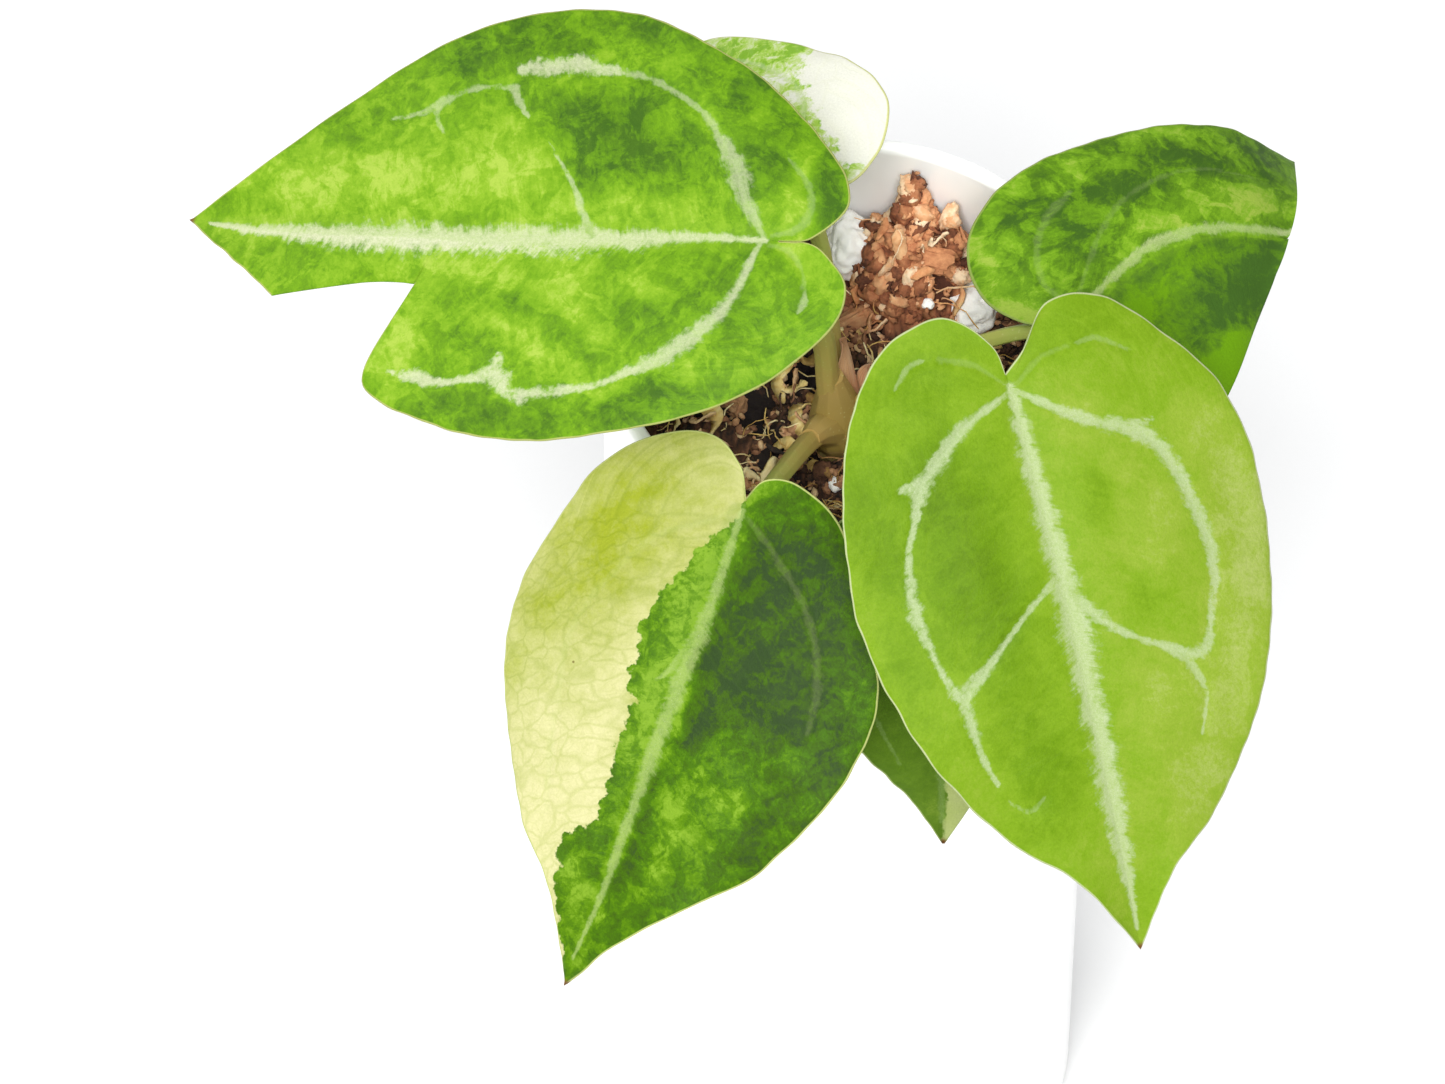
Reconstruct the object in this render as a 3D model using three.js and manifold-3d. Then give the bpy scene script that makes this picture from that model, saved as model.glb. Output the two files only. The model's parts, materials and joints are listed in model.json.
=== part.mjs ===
// A young anthurium magnificum with marbled leaves, in a plain round pot.
// Millimetres, +Z up. The origin is the centre of the pot's underside, and -Y is the side that the plant
// shows best.

import * as THREE from 'three';
import { mergeVertices } from 'three/addons/utils/BufferGeometryUtils.js';
import Module from 'manifold-3d';

// Pot: a tall straight cylinder with a rounded foot and a rounded lip
const POT_RADIUS = 50;
const POT_HEIGHT = 265;
const POT_WALL = 3.4;
const POT_FLOOR = 5;
const POT_FOOT_ROUND = 4;
const POT_FOOT_STEPS = 3;
const POT_LIP_STEPS = 4;
const POT_SIDES = 48;

// Growing medium: bark and fibre in a gently rolling bed, with a lump of fresh fibre against the back wall
const MEDIUM_LEVEL = POT_HEIGHT - 31;
const MEDIUM_ROLL = 1.1;
const MEDIUM_SEED = 29;
const MEDIUM_RINGS = [0, 12, 24, 34, 41];
const MEDIUM_SIDES = 24;
const WALL_CLEARANCE = 0.5;
const CHIP_COUNT = 54;
const CHIP_LENGTH = [8, 14];
const CHIP_WIDTH = [4, 7.5];
const CHIP_THICK = [2.5, 4];
const CHIP_FOOT_TAPER = [0.8, 1.1];
const CHIP_TIP_TAPER = [0.45, 0.85];
const CHIP_LENGTH_SHIFT = [0.8, 1.15];
const CHIP_THICK_SHIFT = [0.7, 1.2];
const CHIP_TILT = 1.2;
const CHIP_LIFT = 0.8;
const CHIP_INSET = 2.5;
const GOLDEN_ANGLE = Math.PI * (3 - Math.sqrt(5));
const LUMP_CENTRE = [12, 35, 238];
const LUMP_SIZE = [11.3, 11.5, 12.5];
const LUMP_ROUGHNESS = [0.9, 1.08];
const LUMP_SQUARENESS = 0.8;
const SPLINTER_TAPER = 0.8;
const SPLINTERS = [
  { foot: [13.3, 37, 245], tip: [12.1, 43.5, 261.5], radius: 4.2 },
  { foot: [5.5, 35, 242], tip: [3.5, 39, 251], radius: 3 },
  { foot: [18, 35, 243], tip: [20.5, 38, 253.5], radius: 3.2 },
];

// White grains of perlite that lie in the medium, each as x, y, z and radius
const PERLITE = [
  [0.5, 38, 243.5, 7],
  [25, 28, 237, 6],
  [15.4, 24, 242.8, 1.3],
  [-3.2, -15.5, 236, 1.8],
];
const PERLITE_SEED = 50;
const PERLITE_ROUGHNESS = [0.82, 1.12];
const PERLITE_FLATNESS = 0.8;

// Plant
const BLADE_THICK = 0.8;
const MIDRIB_DEPTH = 1.5;
const MIDRIB_TAPER = 0.75;
const HALF_WIDTH_SHARE = 0.36;
const FOLD_REACH = 8;
const STEM_RADIUS = 5.6;
const STEM_TAPER = 0.25;
const STEM_RING_DEPTH = 0.05;
const STEM_RING_WAVES = 32;
const STALK_TAPER = 0.22;
const STALK_FOOT_SWELL = 0.225;
const STALK_FOOT_FADE = 9;
const JOINT_SWELL = 0.35;
const JOINT_AT = 0.93;
const JOINT_REACH = 0.05;
// Clear space left between neighbouring pieces
const GAP = 0.35;

const wasm = await Module();
wasm.setup();

// Seeded random numbers from 0 to 1
function randomFrom(seed) {
  let state = seed;
  return () => {
    state = (state + 0x6d2b79f5) | 0;
    let mixed = Math.imul(state ^ (state >>> 15), 1 | state);
    mixed = (mixed + Math.imul(mixed ^ (mixed >>> 7), 61 | mixed)) ^ mixed;
    return ((mixed ^ (mixed >>> 14)) >>> 0) / 4294967296;
  };
}

const between = (random, [low, high]) => low + (high - low) * random();

// A closed geometry becomes a solid that can be joined and cut, and back again
function solidOf(geometry) {
  const bare = geometry.clone();
  bare.deleteAttribute('normal');
  bare.deleteAttribute('uv');
  const merged = mergeVertices(bare, 1e-4);
  return new wasm.Manifold(new wasm.Mesh({
    numProp: 3,
    vertProperties: new Float32Array(merged.attributes.position.array),
    triVerts: new Uint32Array(merged.index.array),
  }));
}

function geometryOf(solid) {
  const mesh = solid.getMesh();
  const geometry = new THREE.BufferGeometry();
  geometry.setAttribute('position', new THREE.BufferAttribute(mesh.vertProperties, 3));
  geometry.setIndex(new THREE.BufferAttribute(mesh.triVerts, 1));
  return geometry;
}

// The biggest body of a solid, so that a scrap cut off by the pot's wall is dropped
function mainBody(solid) {
  return solid.decompose().reduce((best, body) => (body.volume() > best.volume() ? body : best));
}

// Loose faces given as points, three to a face, with faces of no area dropped
function geometryFromFaces(faces) {
  const kept = faces.filter(([a, b, c]) => a !== b && b !== c && a !== c);
  const geometry = new THREE.BufferGeometry();
  const numbers = kept.flatMap((face) => face.flatMap((point) => point.toArray()));
  geometry.setAttribute('position', new THREE.Float32BufferAttribute(numbers, 3));
  return mergeVertices(geometry, 1e-4);
}

// A round tube with closed ends along a smooth curve, its radius a function of the way along, from 0 to 1
function taperedTube(points, radiusAt, steps, sides) {
  const path = points.map((p) => new THREE.Vector3(...p));
  const curve = new THREE.CatmullRomCurve3(path, false, 'centripetal');
  const frames = curve.computeFrenetFrames(steps, false);
  const rings = [];
  for (let i = 0; i <= steps; i++) {
    const centre = curve.getPointAt(i / steps);
    const ring = [];
    for (let k = 0; k < sides; k++) {
      const angle = (2 * Math.PI * k) / sides;
      ring.push(centre.clone()
        .addScaledVector(frames.normals[i], Math.cos(angle) * radiusAt(i / steps))
        .addScaledVector(frames.binormals[i], Math.sin(angle) * radiusAt(i / steps)));
    }
    rings.push(ring);
  }
  const faces = [];
  const first = curve.getPointAt(0);
  const last = curve.getPointAt(1);
  for (let k = 0; k < sides; k++) {
    const next = (k + 1) % sides;
    for (let i = 0; i < steps; i++) {
      faces.push([rings[i][k], rings[i][next], rings[i + 1][next]]);
      faces.push([rings[i][k], rings[i + 1][next], rings[i + 1][k]]);
    }
    faces.push([first, rings[0][next], rings[0][k]]);
    faces.push([last, rings[steps][k], rings[steps][next]]);
  }
  return geometryFromFaces(faces);
}

function makePot() {
  const inner = POT_RADIUS - POT_WALL;
  const lip = POT_WALL / 2;
  const profile = [new THREE.Vector2(0, 0)];
  for (let step = 0; step <= POT_FOOT_STEPS; step++) {
    const angle = (step / POT_FOOT_STEPS) * (Math.PI / 2);
    profile.push(new THREE.Vector2(
      POT_RADIUS - POT_FOOT_ROUND + POT_FOOT_ROUND * Math.sin(angle),
      POT_FOOT_ROUND - POT_FOOT_ROUND * Math.cos(angle),
    ));
  }
  for (let step = 0; step <= POT_LIP_STEPS; step++) {
    const angle = (step / POT_LIP_STEPS) * Math.PI;
    profile.push(new THREE.Vector2(
      POT_RADIUS - lip + lip * Math.cos(angle),
      POT_HEIGHT - lip + lip * Math.sin(angle),
    ));
  }
  profile.push(new THREE.Vector2(inner, POT_FLOOR), new THREE.Vector2(0, POT_FLOOR));
  const turned = new THREE.LatheGeometry(profile, POT_SIDES);
  turned.rotateX(Math.PI / 2);
  return geometryOf(solidOf(turned));
}

// A closed geometry with bare corners, which can be moved one by one
function solidReady(geometry) {
  geometry.deleteAttribute('normal');
  geometry.deleteAttribute('uv');
  return mergeVertices(geometry, 1e-4);
}

// Height of the bed's surface
function bedHeight(x, y) {
  const roll = Math.sin(x * 0.16 + 1) * Math.cos(y * 0.13) + 0.6 * Math.sin(x * 0.07 - y * 0.19);
  return MEDIUM_LEVEL + MEDIUM_ROLL * roll;
}

// The bed fills the pot up to its rolling surface
function makeBed(outer, bottom) {
  const top = [...MEDIUM_RINGS, outer].map((radius) => {
    if (radius === 0) return [new THREE.Vector3(0, 0, bedHeight(0, 0))];
    return Array.from({ length: MEDIUM_SIDES }, (_, k) => {
      const angle = (2 * Math.PI * k) / MEDIUM_SIDES;
      const x = radius * Math.cos(angle);
      const y = radius * Math.sin(angle);
      return new THREE.Vector3(x, y, bedHeight(x, y));
    });
  });
  const rim = top[top.length - 1];
  const foot = rim.map((point) => new THREE.Vector3(point.x, point.y, bottom));
  const footCentre = new THREE.Vector3(0, 0, bottom);
  const faces = [];
  for (let k = 0; k < MEDIUM_SIDES; k++) {
    const next = (k + 1) % MEDIUM_SIDES;
    faces.push([top[0][0], top[1][k], top[1][next]]);
    for (let ring = 1; ring < top.length - 1; ring++) {
      faces.push([top[ring][k], top[ring + 1][k], top[ring + 1][next]]);
      faces.push([top[ring][k], top[ring + 1][next], top[ring][next]]);
    }
    faces.push([rim[k], foot[k], foot[next]], [rim[k], foot[next], rim[next]]);
    faces.push([footCentre, foot[next], foot[k]]);
  }
  return solidOf(geometryFromFaces(faces));
}

// One chip of bark: a tapered block with every corner moved a little
function makeChip(random) {
  const block = solidReady(new THREE.BoxGeometry(
    between(random, CHIP_LENGTH), between(random, CHIP_WIDTH), between(random, CHIP_THICK)));
  const position = block.attributes.position;
  for (let i = 0; i < position.count; i++) {
    const taper = between(random, position.getX(i) > 0 ? CHIP_TIP_TAPER : CHIP_FOOT_TAPER);
    position.setXYZ(i,
      position.getX(i) * between(random, CHIP_LENGTH_SHIFT),
      position.getY(i) * taper,
      position.getZ(i) * between(random, CHIP_THICK_SHIFT));
  }
  return block;
}

// The lump of fresh fibre: a rough ball, a little squared, with splinters that stand up out of it
function makeLump(random) {
  const ball = solidReady(new THREE.IcosahedronGeometry(1, 2));
  const position = ball.attributes.position;
  for (let i = 0; i < position.count; i++) {
    const rough = between(random, LUMP_ROUGHNESS);
    const [x, y, z] = [position.getX(i), position.getY(i), position.getZ(i)].map((along, axis) => (
      LUMP_CENTRE[axis] + LUMP_SIZE[axis] * rough * Math.sign(along) * Math.abs(along) ** LUMP_SQUARENESS));
    position.setXYZ(i, x, y, z);
  }
  const splinters = SPLINTERS.map(({ foot, tip, radius }) => (
    solidOf(taperedTube([foot, tip], (t) => radius * (1 - SPLINTER_TAPER * t ** 1.5), 3, 6))));
  return splinters.reduce((lump, splinter) => lump.add(splinter), solidOf(ball));
}

function makeMedium() {
  const random = randomFrom(MEDIUM_SEED);
  const outer = POT_RADIUS - POT_WALL - WALL_CLEARANCE;
  const bottom = POT_FLOOR + GAP;
  const turn = new THREE.Matrix4();
  const angles = new THREE.Euler();
  let medium = makeBed(outer, bottom).add(makeLump(random));
  for (let i = 0; i < CHIP_COUNT; i++) {
    // A sunflower spiral, turned by the golden angle at each step, spreads the chips evenly
    const radius = (outer - CHIP_INSET) * Math.sqrt((i + 0.5) / CHIP_COUNT);
    const angle = i * GOLDEN_ANGLE + 0.5 * random();
    const x = radius * Math.cos(angle);
    const y = radius * Math.sin(angle);
    angles.set((random() - 0.5) * CHIP_TILT, (random() - 0.5) * CHIP_TILT, random() * 2 * Math.PI);
    turn.makeRotationFromEuler(angles).setPosition(x, y, bedHeight(x, y) + CHIP_LIFT);
    medium = medium.add(solidOf(makeChip(random).applyMatrix4(turn)));
  }
  const inside = new THREE.CylinderGeometry(outer, outer, POT_HEIGHT, POT_SIDES);
  inside.rotateX(Math.PI / 2).translate(0, 0, bottom + POT_HEIGHT / 2);
  return medium.intersect(solidOf(inside));
}

// The stem is short and thick, and its roots run down into the medium
const STEM_PATH = [[-1, 3, 205], [-2.5, -1, 228], [-3, -3, 240], [-3, -3.5, 248]];
const ROOT_COUNT = 5;
const ROOT_SEED = 7;
const ROOT_CENTRE = [-2, 1];
const ROOT_SWEEP = 0.5;
const ROOT_LENGTH = 62;
const ROOT_RADIUS = 1.7;
const ROOT_TIP_RADIUS = 0.8;
const ROOT_REACH = [17, 29];
const ROOT_START = [211, 224];

function makeStem(swell) {
  const radiusAt = (t) => (
    STEM_RADIUS * (1.08 - STEM_TAPER * t + STEM_RING_DEPTH * Math.sin(t * STEM_RING_WAVES)) + swell);
  let stem = solidOf(taperedTube(STEM_PATH, radiusAt, 12, 10));
  const random = randomFrom(ROOT_SEED);
  for (let i = 0; i < ROOT_COUNT; i++) {
    const angle = (2 * Math.PI * (i + 0.3 * random())) / ROOT_COUNT;
    const reach = between(random, ROOT_REACH);
    const start = between(random, ROOT_START);
    const path = [0, 0.25, 0.6, 1].map((t) => [
      ROOT_CENTRE[0] + reach * Math.cos(angle + ROOT_SWEEP * t) * Math.sqrt(t),
      ROOT_CENTRE[1] + reach * Math.sin(angle + ROOT_SWEEP * t) * Math.sqrt(t),
      start - ROOT_LENGTH * t * (0.6 + 0.4 * t),
    ]);
    const rootRadius = (t) => ROOT_RADIUS + (ROOT_TIP_RADIUS - ROOT_RADIUS) * t + swell;
    stem = stem.add(solidOf(taperedTube(path, rootRadius, 5, 5)));
  }
  return stem;
}

// Leaves. hub is where the leaf stalk meets the blade. The blade runs from there along its heading, in
// degrees from +X, and falls by slope degrees. Outlines are in millimetres on the blade's own plane, x towards
// the tip and y to its left, from the sinus behind the hub round the lobe to the tip. Each inner list is one
// smooth stretch, and stretches meet at a corner. bow lifts the middle of the midrib, fold lifts both halves
// out of it, curl lowers the margins, and sway bends the midrib sideways in its plane.
const LEAVES = [
  {
    name: 'leaf_left',
    hub: [-17.6, -7.7, 307], heading: 166, slope: 15, roll: -20, length: 122,
    bow: 8, fold: 1.5, curl: 5, sway: 3.5, wave: 1.3, waves: 3.5, phase: 0.4,
    end: [122, 0],
    right: [[[-2.5, 0], [-9, -1.2], [-15, -9], [-10, -19], [4, -32], [20, -40.5], [37, -45.8],
      [55, -43], [75, -33.5], [93, -21], [106, -9.5], [122, 0]]],
    left: [
      [[-2.5, 0], [-10, 0.5], [-16.5, 8], [-14, 17], [-2, 29], [14, 38], [32, 42.6],
        [50, 43.5], [66, 40.5], [75, 36.5], [76.5, 32], [72, 22], [68, 14]],
      [[68, 14], [80, 13.8], [99, 17]],
      [[99, 17], [109, 9.5], [122, 0]],
    ],
    stalk: [[-3.5, -3.2, 240], [-5, -3.8, 254], [-6.5, -4.8, 272], [-12, -7.5, 292]],
    stalkRadius: 2.5, color: 0x62a026,
  },
  {
    name: 'leaf_back',
    hub: [-12.4, 18.7, 291], heading: 126, slope: 30, roll: -14, length: 80,
    bow: 6, fold: 1.5, curl: 3, sway: 0, wave: 0.9, waves: 3, phase: 1.4,
    end: [80, 0],
    right: [[[-2.5, 0], [-7.5, -1.5], [-10.4, -6.5], [-9.4, -13], [-6.6, -19], [-1.4, -25], [5, -27.4],
      [13, -28], [22, -27.2], [33, -24.2], [45, -18.6], [58, -11.2], [69, -5], [80, 0]]],
    left: [[[-2.5, 0], [-8, 3], [-11.5, 11], [-8, 20], [2, 27], [14, 28.5], [27, 26.5],
      [41, 20.5], [55, 12.5], [68, 5], [80, 0]]],
    stalk: [[-3.2, 0.5, 242], [-4, 4, 252], [-4.9, 9, 261], [-6.4, 14.5, 274], [-9, 17.3, 284]],
    stalkRadius: 2, color: 0xb9d27a,
  },
  {
    name: 'leaf_right',
    hub: [43.1, -6.8, 279], heading: 27, slope: 26, roll: 16, length: 83,
    bow: 13, fold: 1.5, curl: 5, sway: 7, wave: 1.1, waves: 3, phase: 2.3,
    end: [48.5, 7.5],
    left: [
      [[-2.5, 0], [-8, 3], [-12, 11], [-11, 22], [-4, 31], [8, 36], [28, 38.3], [48, 36], [67, 29]],
      [[67, 29], [48.5, 7.5]],
    ],
    right: [
      [[-2.5, 0], [-9, -2.5], [-12, -11], [-8, -21], [1, -29.5], [13, -34]],
      [[13, -34], [48.5, 7.5]],
    ],
    stalk: [[-2, -3.5, 240], [5, -4, 252], [19, -3, 263], [35, -4, 272]],
    stalkRadius: 2.1, color: 0x4d8a22,
  },
  {
    name: 'leaf_front_right',
    hub: [29.1, -42.9, 307], heading: -72, slope: 42, roll: 0, length: 113,
    bow: 7, fold: 2, curl: 5, sway: -0.5, wave: 1.2, waves: 3.5, phase: 0,
    end: [113, 0],
    right: [[[-2.5, 0], [-9, -1.5], [-16, -9.5], [-13, -21], [-2, -31], [12, -37], [30, -39.8],
      [46, -38.8], [66, -33], [84, -22], [97, -9.5], [113, 0]]],
    left: [[[-2.5, 0], [-6.5, 4.5], [-14, 11.5], [-12, 23], [-3, 32], [9, 40.3], [25, 43.7],
      [44, 42.3], [60, 37.5], [76, 30], [90, 19], [99, 8.5], [113, 0]]],
    stalk: [[-1, -5, 240], [6, -12, 251], [16, -26, 275], [26, -39, 296]],
    stalkRadius: 2.3, color: 0x7fae33,
  },
  {
    name: 'leaf_front_left',
    hub: [-22.3, -53.6, 281], heading: -117, slope: 40, roll: 0, length: 100,
    bow: 6, fold: 2, curl: 4, sway: 2.3, wave: 1.2, waves: 3.5, phase: 2,
    end: [100, 0],
    right: [[[-2.5, 0], [-8, -4], [-11, -12], [-7, -22], [2, -29.5], [14, -33.4], [27, -35.8],
      [40, -34], [55, -28], [70, -19.5], [82, -8.5], [100, 0]]],
    left: [[[-2.5, 0], [-7, 2], [-8.5, 8], [-5, 18], [3, 26.5], [14, 34], [24, 39],
      [37, 39.7], [50, 36.5], [66, 28], [77, 17.5], [88, 8], [100, 0]]],
    stalk: [[-4.5, -4, 239], [-8.5, -12, 246], [-14, -30, 261], [-19.5, -48, 275]],
    stalkRadius: 2.3, color: 0x9fbf52,
  },
  {
    name: 'leaf_low',
    hub: [13, -56.5, 270.5], heading: -81, slope: 64, roll: 0, length: 66,
    bow: 4, fold: 1.5, curl: 3, sway: 0, wave: 0.8, waves: 3, phase: 1,
    end: [66, 0],
    right: [[[-2.5, 0], [-8, -3], [-10, -10], [-5, -19], [6, -24], [18, -24.5], [30, -21],
      [42, -14], [53, -6.5], [66, 0]]],
    left: [[[-2.5, 0], [-8, 3], [-10, 10], [-5, 19], [6, 24], [18, 24.5], [30, 21.5],
      [42, 15], [54, 7.5], [66, 0]]],
    stalk: [[-0.5, -5.5, 237], [4, -12, 244], [9, -28, 262], [11.5, -43, 271.5]],
    stalkRadius: 2, color: 0x4b7d1c,
  },
];

const MARGIN_STEPS = 20;
const ACROSS = [0, 0.08, 0.32, 0.6, 0.84, 1];
const VEIN_LAG = 0.45;

// Points along the margin, spread evenly over each smooth stretch, with every corner kept
function marginPoints(stretches, steps) {
  const curves = stretches.map((points) => (
    new THREE.SplineCurve(points.map((p) => new THREE.Vector2(...p)))));
  const lengths = curves.map((curve) => curve.getLength());
  const total = lengths.reduce((sum, length) => sum + length, 0);
  const counts = lengths.map((length) => Math.max(1, Math.round((steps * length) / total)));
  counts[0] += steps - counts.reduce((sum, count) => sum + count, 0);
  const points = [curves[0].getPointAt(0)];
  curves.forEach((curve, i) => {
    for (let k = 1; k <= counts[i]; k++) points.push(curve.getPointAt(k / counts[i]));
  });
  return points;
}

function midribPoint(leaf, u) {
  const [endX, endY] = leaf.end;
  const bend = leaf.sway * 4 * u * (1 - u);
  return new THREE.Vector2(u * endX, u * endY + bend);
}

// Height of the blade above its plane
function bladeHeight(leaf, x, y, around, across) {
  const along = x / leaf.length;
  const halfWidth = HALF_WIDTH_SHARE * leaf.length;
  const wave = leaf.wave * across ** 3 * Math.sin(2 * Math.PI * leaf.waves * around + leaf.phase);
  return leaf.bow * 4 * along * (1 - along)
    + leaf.fold * (1 - Math.exp(-Math.abs(y) / FOLD_REACH))
    - leaf.curl * (y / halfWidth) ** 2
    + wave;
}

function makeBlade(leaf) {
  const margins = [marginPoints(leaf.left, MARGIN_STEPS), marginPoints(leaf.right, MARGIN_STEPS)];
  // The line from the midrib to each margin point leans towards the tip, as the side veins do
  const feet = [];
  for (let i = 0; i <= MARGIN_STEPS; i++) {
    const lagging = margins.map((points) => points[i].x - VEIN_LAG * Math.abs(points[i].y));
    const share = (lagging[0] + lagging[1]) / 2 / leaf.end[0];
    feet.push(Math.min(1, Math.max(i > 0 ? feet[i - 1] : 0, share, 0)));
  }
  feet[MARGIN_STEPS] = 1;

  const top = [];
  const under = [];
  const known = new Map();
  const shared = (key, x, y, z) => {
    if (!known.has(key)) known.set(key, new THREE.Vector3(x, y, z));
    return known.get(key);
  };
  margins.forEach((points, side) => {
    top.push([]);
    under.push([]);
    for (let i = 0; i <= MARGIN_STEPS; i++) {
      const foot = midribPoint(leaf, feet[i]);
      const rowTop = [];
      const rowUnder = [];
      for (const across of ACROSS) {
        const x = foot.x + (points[i].x - foot.x) * across;
        const y = foot.y + (points[i].y - foot.y) * across;
        const onLine = across === 0 || i === 0 || i === MARGIN_STEPS;
        const key = `${x.toFixed(3)} ${y.toFixed(3)} ${onLine ? 'middle' : side}`;
        const height = bladeHeight(leaf, x, y, i / MARGIN_STEPS, across);
        const rib = MIDRIB_DEPTH * (1 - MIDRIB_TAPER * feet[i]) * (across === 0 ? 1 : 0);
        rowTop.push(shared(`top ${key}`, x, y, height + BLADE_THICK / 2));
        rowUnder.push(shared(`under ${key}`, x, y, height - BLADE_THICK / 2 - rib));
      }
      top[side].push(rowTop);
      under[side].push(rowUnder);
    }
  });

  const faces = [];
  const last = ACROSS.length - 1;
  for (const side of [0, 1]) {
    const add = (a, b, c) => faces.push(side === 0 ? [a, b, c] : [a, c, b]);
    for (let i = 0; i < MARGIN_STEPS; i++) {
      for (let j = 0; j < last; j++) {
        const [t, n] = [top[side][i], top[side][i + 1]];
        add(t[j], n[j], n[j + 1]);
        add(t[j], n[j + 1], t[j + 1]);
        const [s, m] = [under[side][i], under[side][i + 1]];
        add(s[j], m[j + 1], m[j]);
        add(s[j], s[j + 1], m[j + 1]);
      }
      const [edgeTop, nextTop] = [top[side][i][last], top[side][i + 1][last]];
      const [edgeUnder, nextUnder] = [under[side][i][last], under[side][i + 1][last]];
      add(edgeTop, nextTop, nextUnder);
      add(edgeTop, nextUnder, edgeUnder);
    }
  }
  return geometryFromFaces(faces);
}

// Turns the blade's own plane to its place on the plant
function bladePlace(leaf) {
  const turn = THREE.MathUtils.degToRad;
  const angles = new THREE.Euler(turn(leaf.roll), turn(leaf.slope), turn(leaf.heading), 'ZYX');
  return new THREE.Matrix4().makeRotationFromEuler(angles).setPosition(...leaf.hub);
}

// The stalk rises from the stem and meets the hub square to the blade, with a swollen joint just below it
function makeStalk(leaf, swell) {
  const place = bladePlace(leaf);
  const below = [-6, -0.1].map((drop) => new THREE.Vector3(0, 0, drop).applyMatrix4(place).toArray());
  const radiusAt = (t) => {
    const foot = STALK_FOOT_SWELL * Math.exp(-t * STALK_FOOT_FADE);
    const joint = JOINT_SWELL * Math.exp(-(((t - JOINT_AT) / JOINT_REACH) ** 2));
    return leaf.stalkRadius * (1 - STALK_TAPER * t + foot) + joint + swell;
  };
  return solidOf(taperedTube([...leaf.stalk, ...below], radiusAt, 13, 8));
}

// Papery sheaths that once wrapped the buds: curved pointed strips at the feet of the stalks. A sheath
// faces a way in degrees from +X, turns by twist as it rises, and reaches spread degrees to each side at
// its foot.
const SHEATH_THICK = 0.7;
const SHEATH_ROWS = 8;
const SHEATH_COLUMNS = 8;
const SHEATH_NARROWING = 0.85;
const SHEATHS = [
  { name: 'sheath_tall', foot: [-3, -1.6, 240], lean: [-3.2, 5.2, 20], facing: -60, twist: 45, radius: 4.6,
    flare: -0.9, spread: 80 },
  { name: 'sheath_short', foot: [-3.6, -2, 243], lean: [0.4, 1.8, 11], facing: 5, twist: 0, radius: 5.8,
    flare: 0.8, spread: 48 },
];

function makeSheath({ foot, lean, facing, twist, radius, flare, spread }, swell) {
  const rows = SHEATH_ROWS;
  const columns = SHEATH_COLUMNS;
  const radians = THREE.MathUtils.degToRad;
  const sheet = [-swell, SHEATH_THICK + swell].map((extra) => Array.from({ length: rows + 1 }, (_, i) => {
    const up = i / rows;
    const half = radians(spread) * (1 - SHEATH_NARROWING * up ** 2.2) + swell / radius;
    const middle = radians(facing + twist * up);
    const out = radius + flare * up ** 2 + extra;
    return Array.from({ length: columns + 1 }, (_, j) => {
      const angle = middle + half * ((2 * j) / columns - 1);
      return new THREE.Vector3(
        foot[0] + lean[0] * up + out * Math.cos(angle),
        foot[1] + lean[1] * up + out * Math.sin(angle),
        foot[2] + lean[2] * up + swell * (2 * up - 1));
    });
  }));
  const [inner, outer] = sheet;
  const faces = [];
  const quad = (a, b, c, d) => faces.push([a, b, c], [a, c, d]);
  for (let i = 0; i < rows; i++) {
    for (let j = 0; j < columns; j++) {
      quad(outer[i][j], outer[i][j + 1], outer[i + 1][j + 1], outer[i + 1][j]);
      quad(inner[i][j], inner[i + 1][j], inner[i + 1][j + 1], inner[i][j + 1]);
    }
    quad(outer[i][0], outer[i + 1][0], inner[i + 1][0], inner[i][0]);
    quad(outer[i][columns], inner[i][columns], inner[i + 1][columns], outer[i + 1][columns]);
  }
  for (let j = 0; j < columns; j++) {
    quad(outer[0][j], inner[0][j], inner[0][j + 1], outer[0][j + 1]);
    quad(outer[rows][j], outer[rows][j + 1], inner[rows][j + 1], inner[rows][j]);
  }
  return solidOf(geometryFromFaces(faces));
}

// One grain: a rough ball, a little flattened
function makePerlite([x, y, z, radius], seed, swell) {
  const random = randomFrom(seed);
  const grain = solidReady(new THREE.IcosahedronGeometry(1, 1));
  const position = grain.attributes.position;
  for (let i = 0; i < position.count; i++) {
    const size = radius * between(random, PERLITE_ROUGHNESS) + swell;
    position.setXYZ(i, position.getX(i) * size, position.getY(i) * size,
      position.getZ(i) * size * PERLITE_FLATNESS);
  }
  grain.translate(x, y, z);
  return solidOf(grain);
}

const object = new THREE.Group();

function addPiece(name, geometry, color, roughness) {
  const mesh = new THREE.Mesh(geometry, new THREE.MeshStandardMaterial({ color, roughness, metalness: 0 }));
  mesh.name = name;
  object.add(mesh);
}

addPiece('pot', makePot(), 0xf7f7f5, 0.35);

const stem = makeStem(0);
addPiece('stem', geometryOf(stem), 0x8c8a4a, 0.6);

// Each leaf is cut clear of the stem and of the stalks that were there before it
let grown = makeStem(GAP);
for (const leaf of LEAVES) {
  const blade = makeBlade(leaf);
  blade.applyMatrix4(bladePlace(leaf));
  const whole = solidOf(blade).add(makeStalk(leaf, 0)).subtract(grown);
  addPiece(leaf.name, geometryOf(whole), leaf.color, 0.45);
  grown = grown.add(makeStalk(leaf, GAP));
}

for (const sheath of SHEATHS) {
  addPiece(sheath.name, geometryOf(mainBody(makeSheath(sheath, 0).subtract(grown))), 0xd9a878, 0.7);
  grown = grown.add(makeSheath(sheath, GAP));
}

let medium = makeMedium().subtract(grown);
PERLITE.forEach((grain, i) => {
  addPiece(`perlite_${i + 1}`, geometryOf(makePerlite(grain, PERLITE_SEED + i, 0)), 0xf2f0ea, 0.9);
  medium = medium.subtract(makePerlite(grain, PERLITE_SEED + i, GAP));
});
addPiece('growing_medium', geometryOf(mainBody(medium)), 0x9a6238, 0.95);

export default object;
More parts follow.
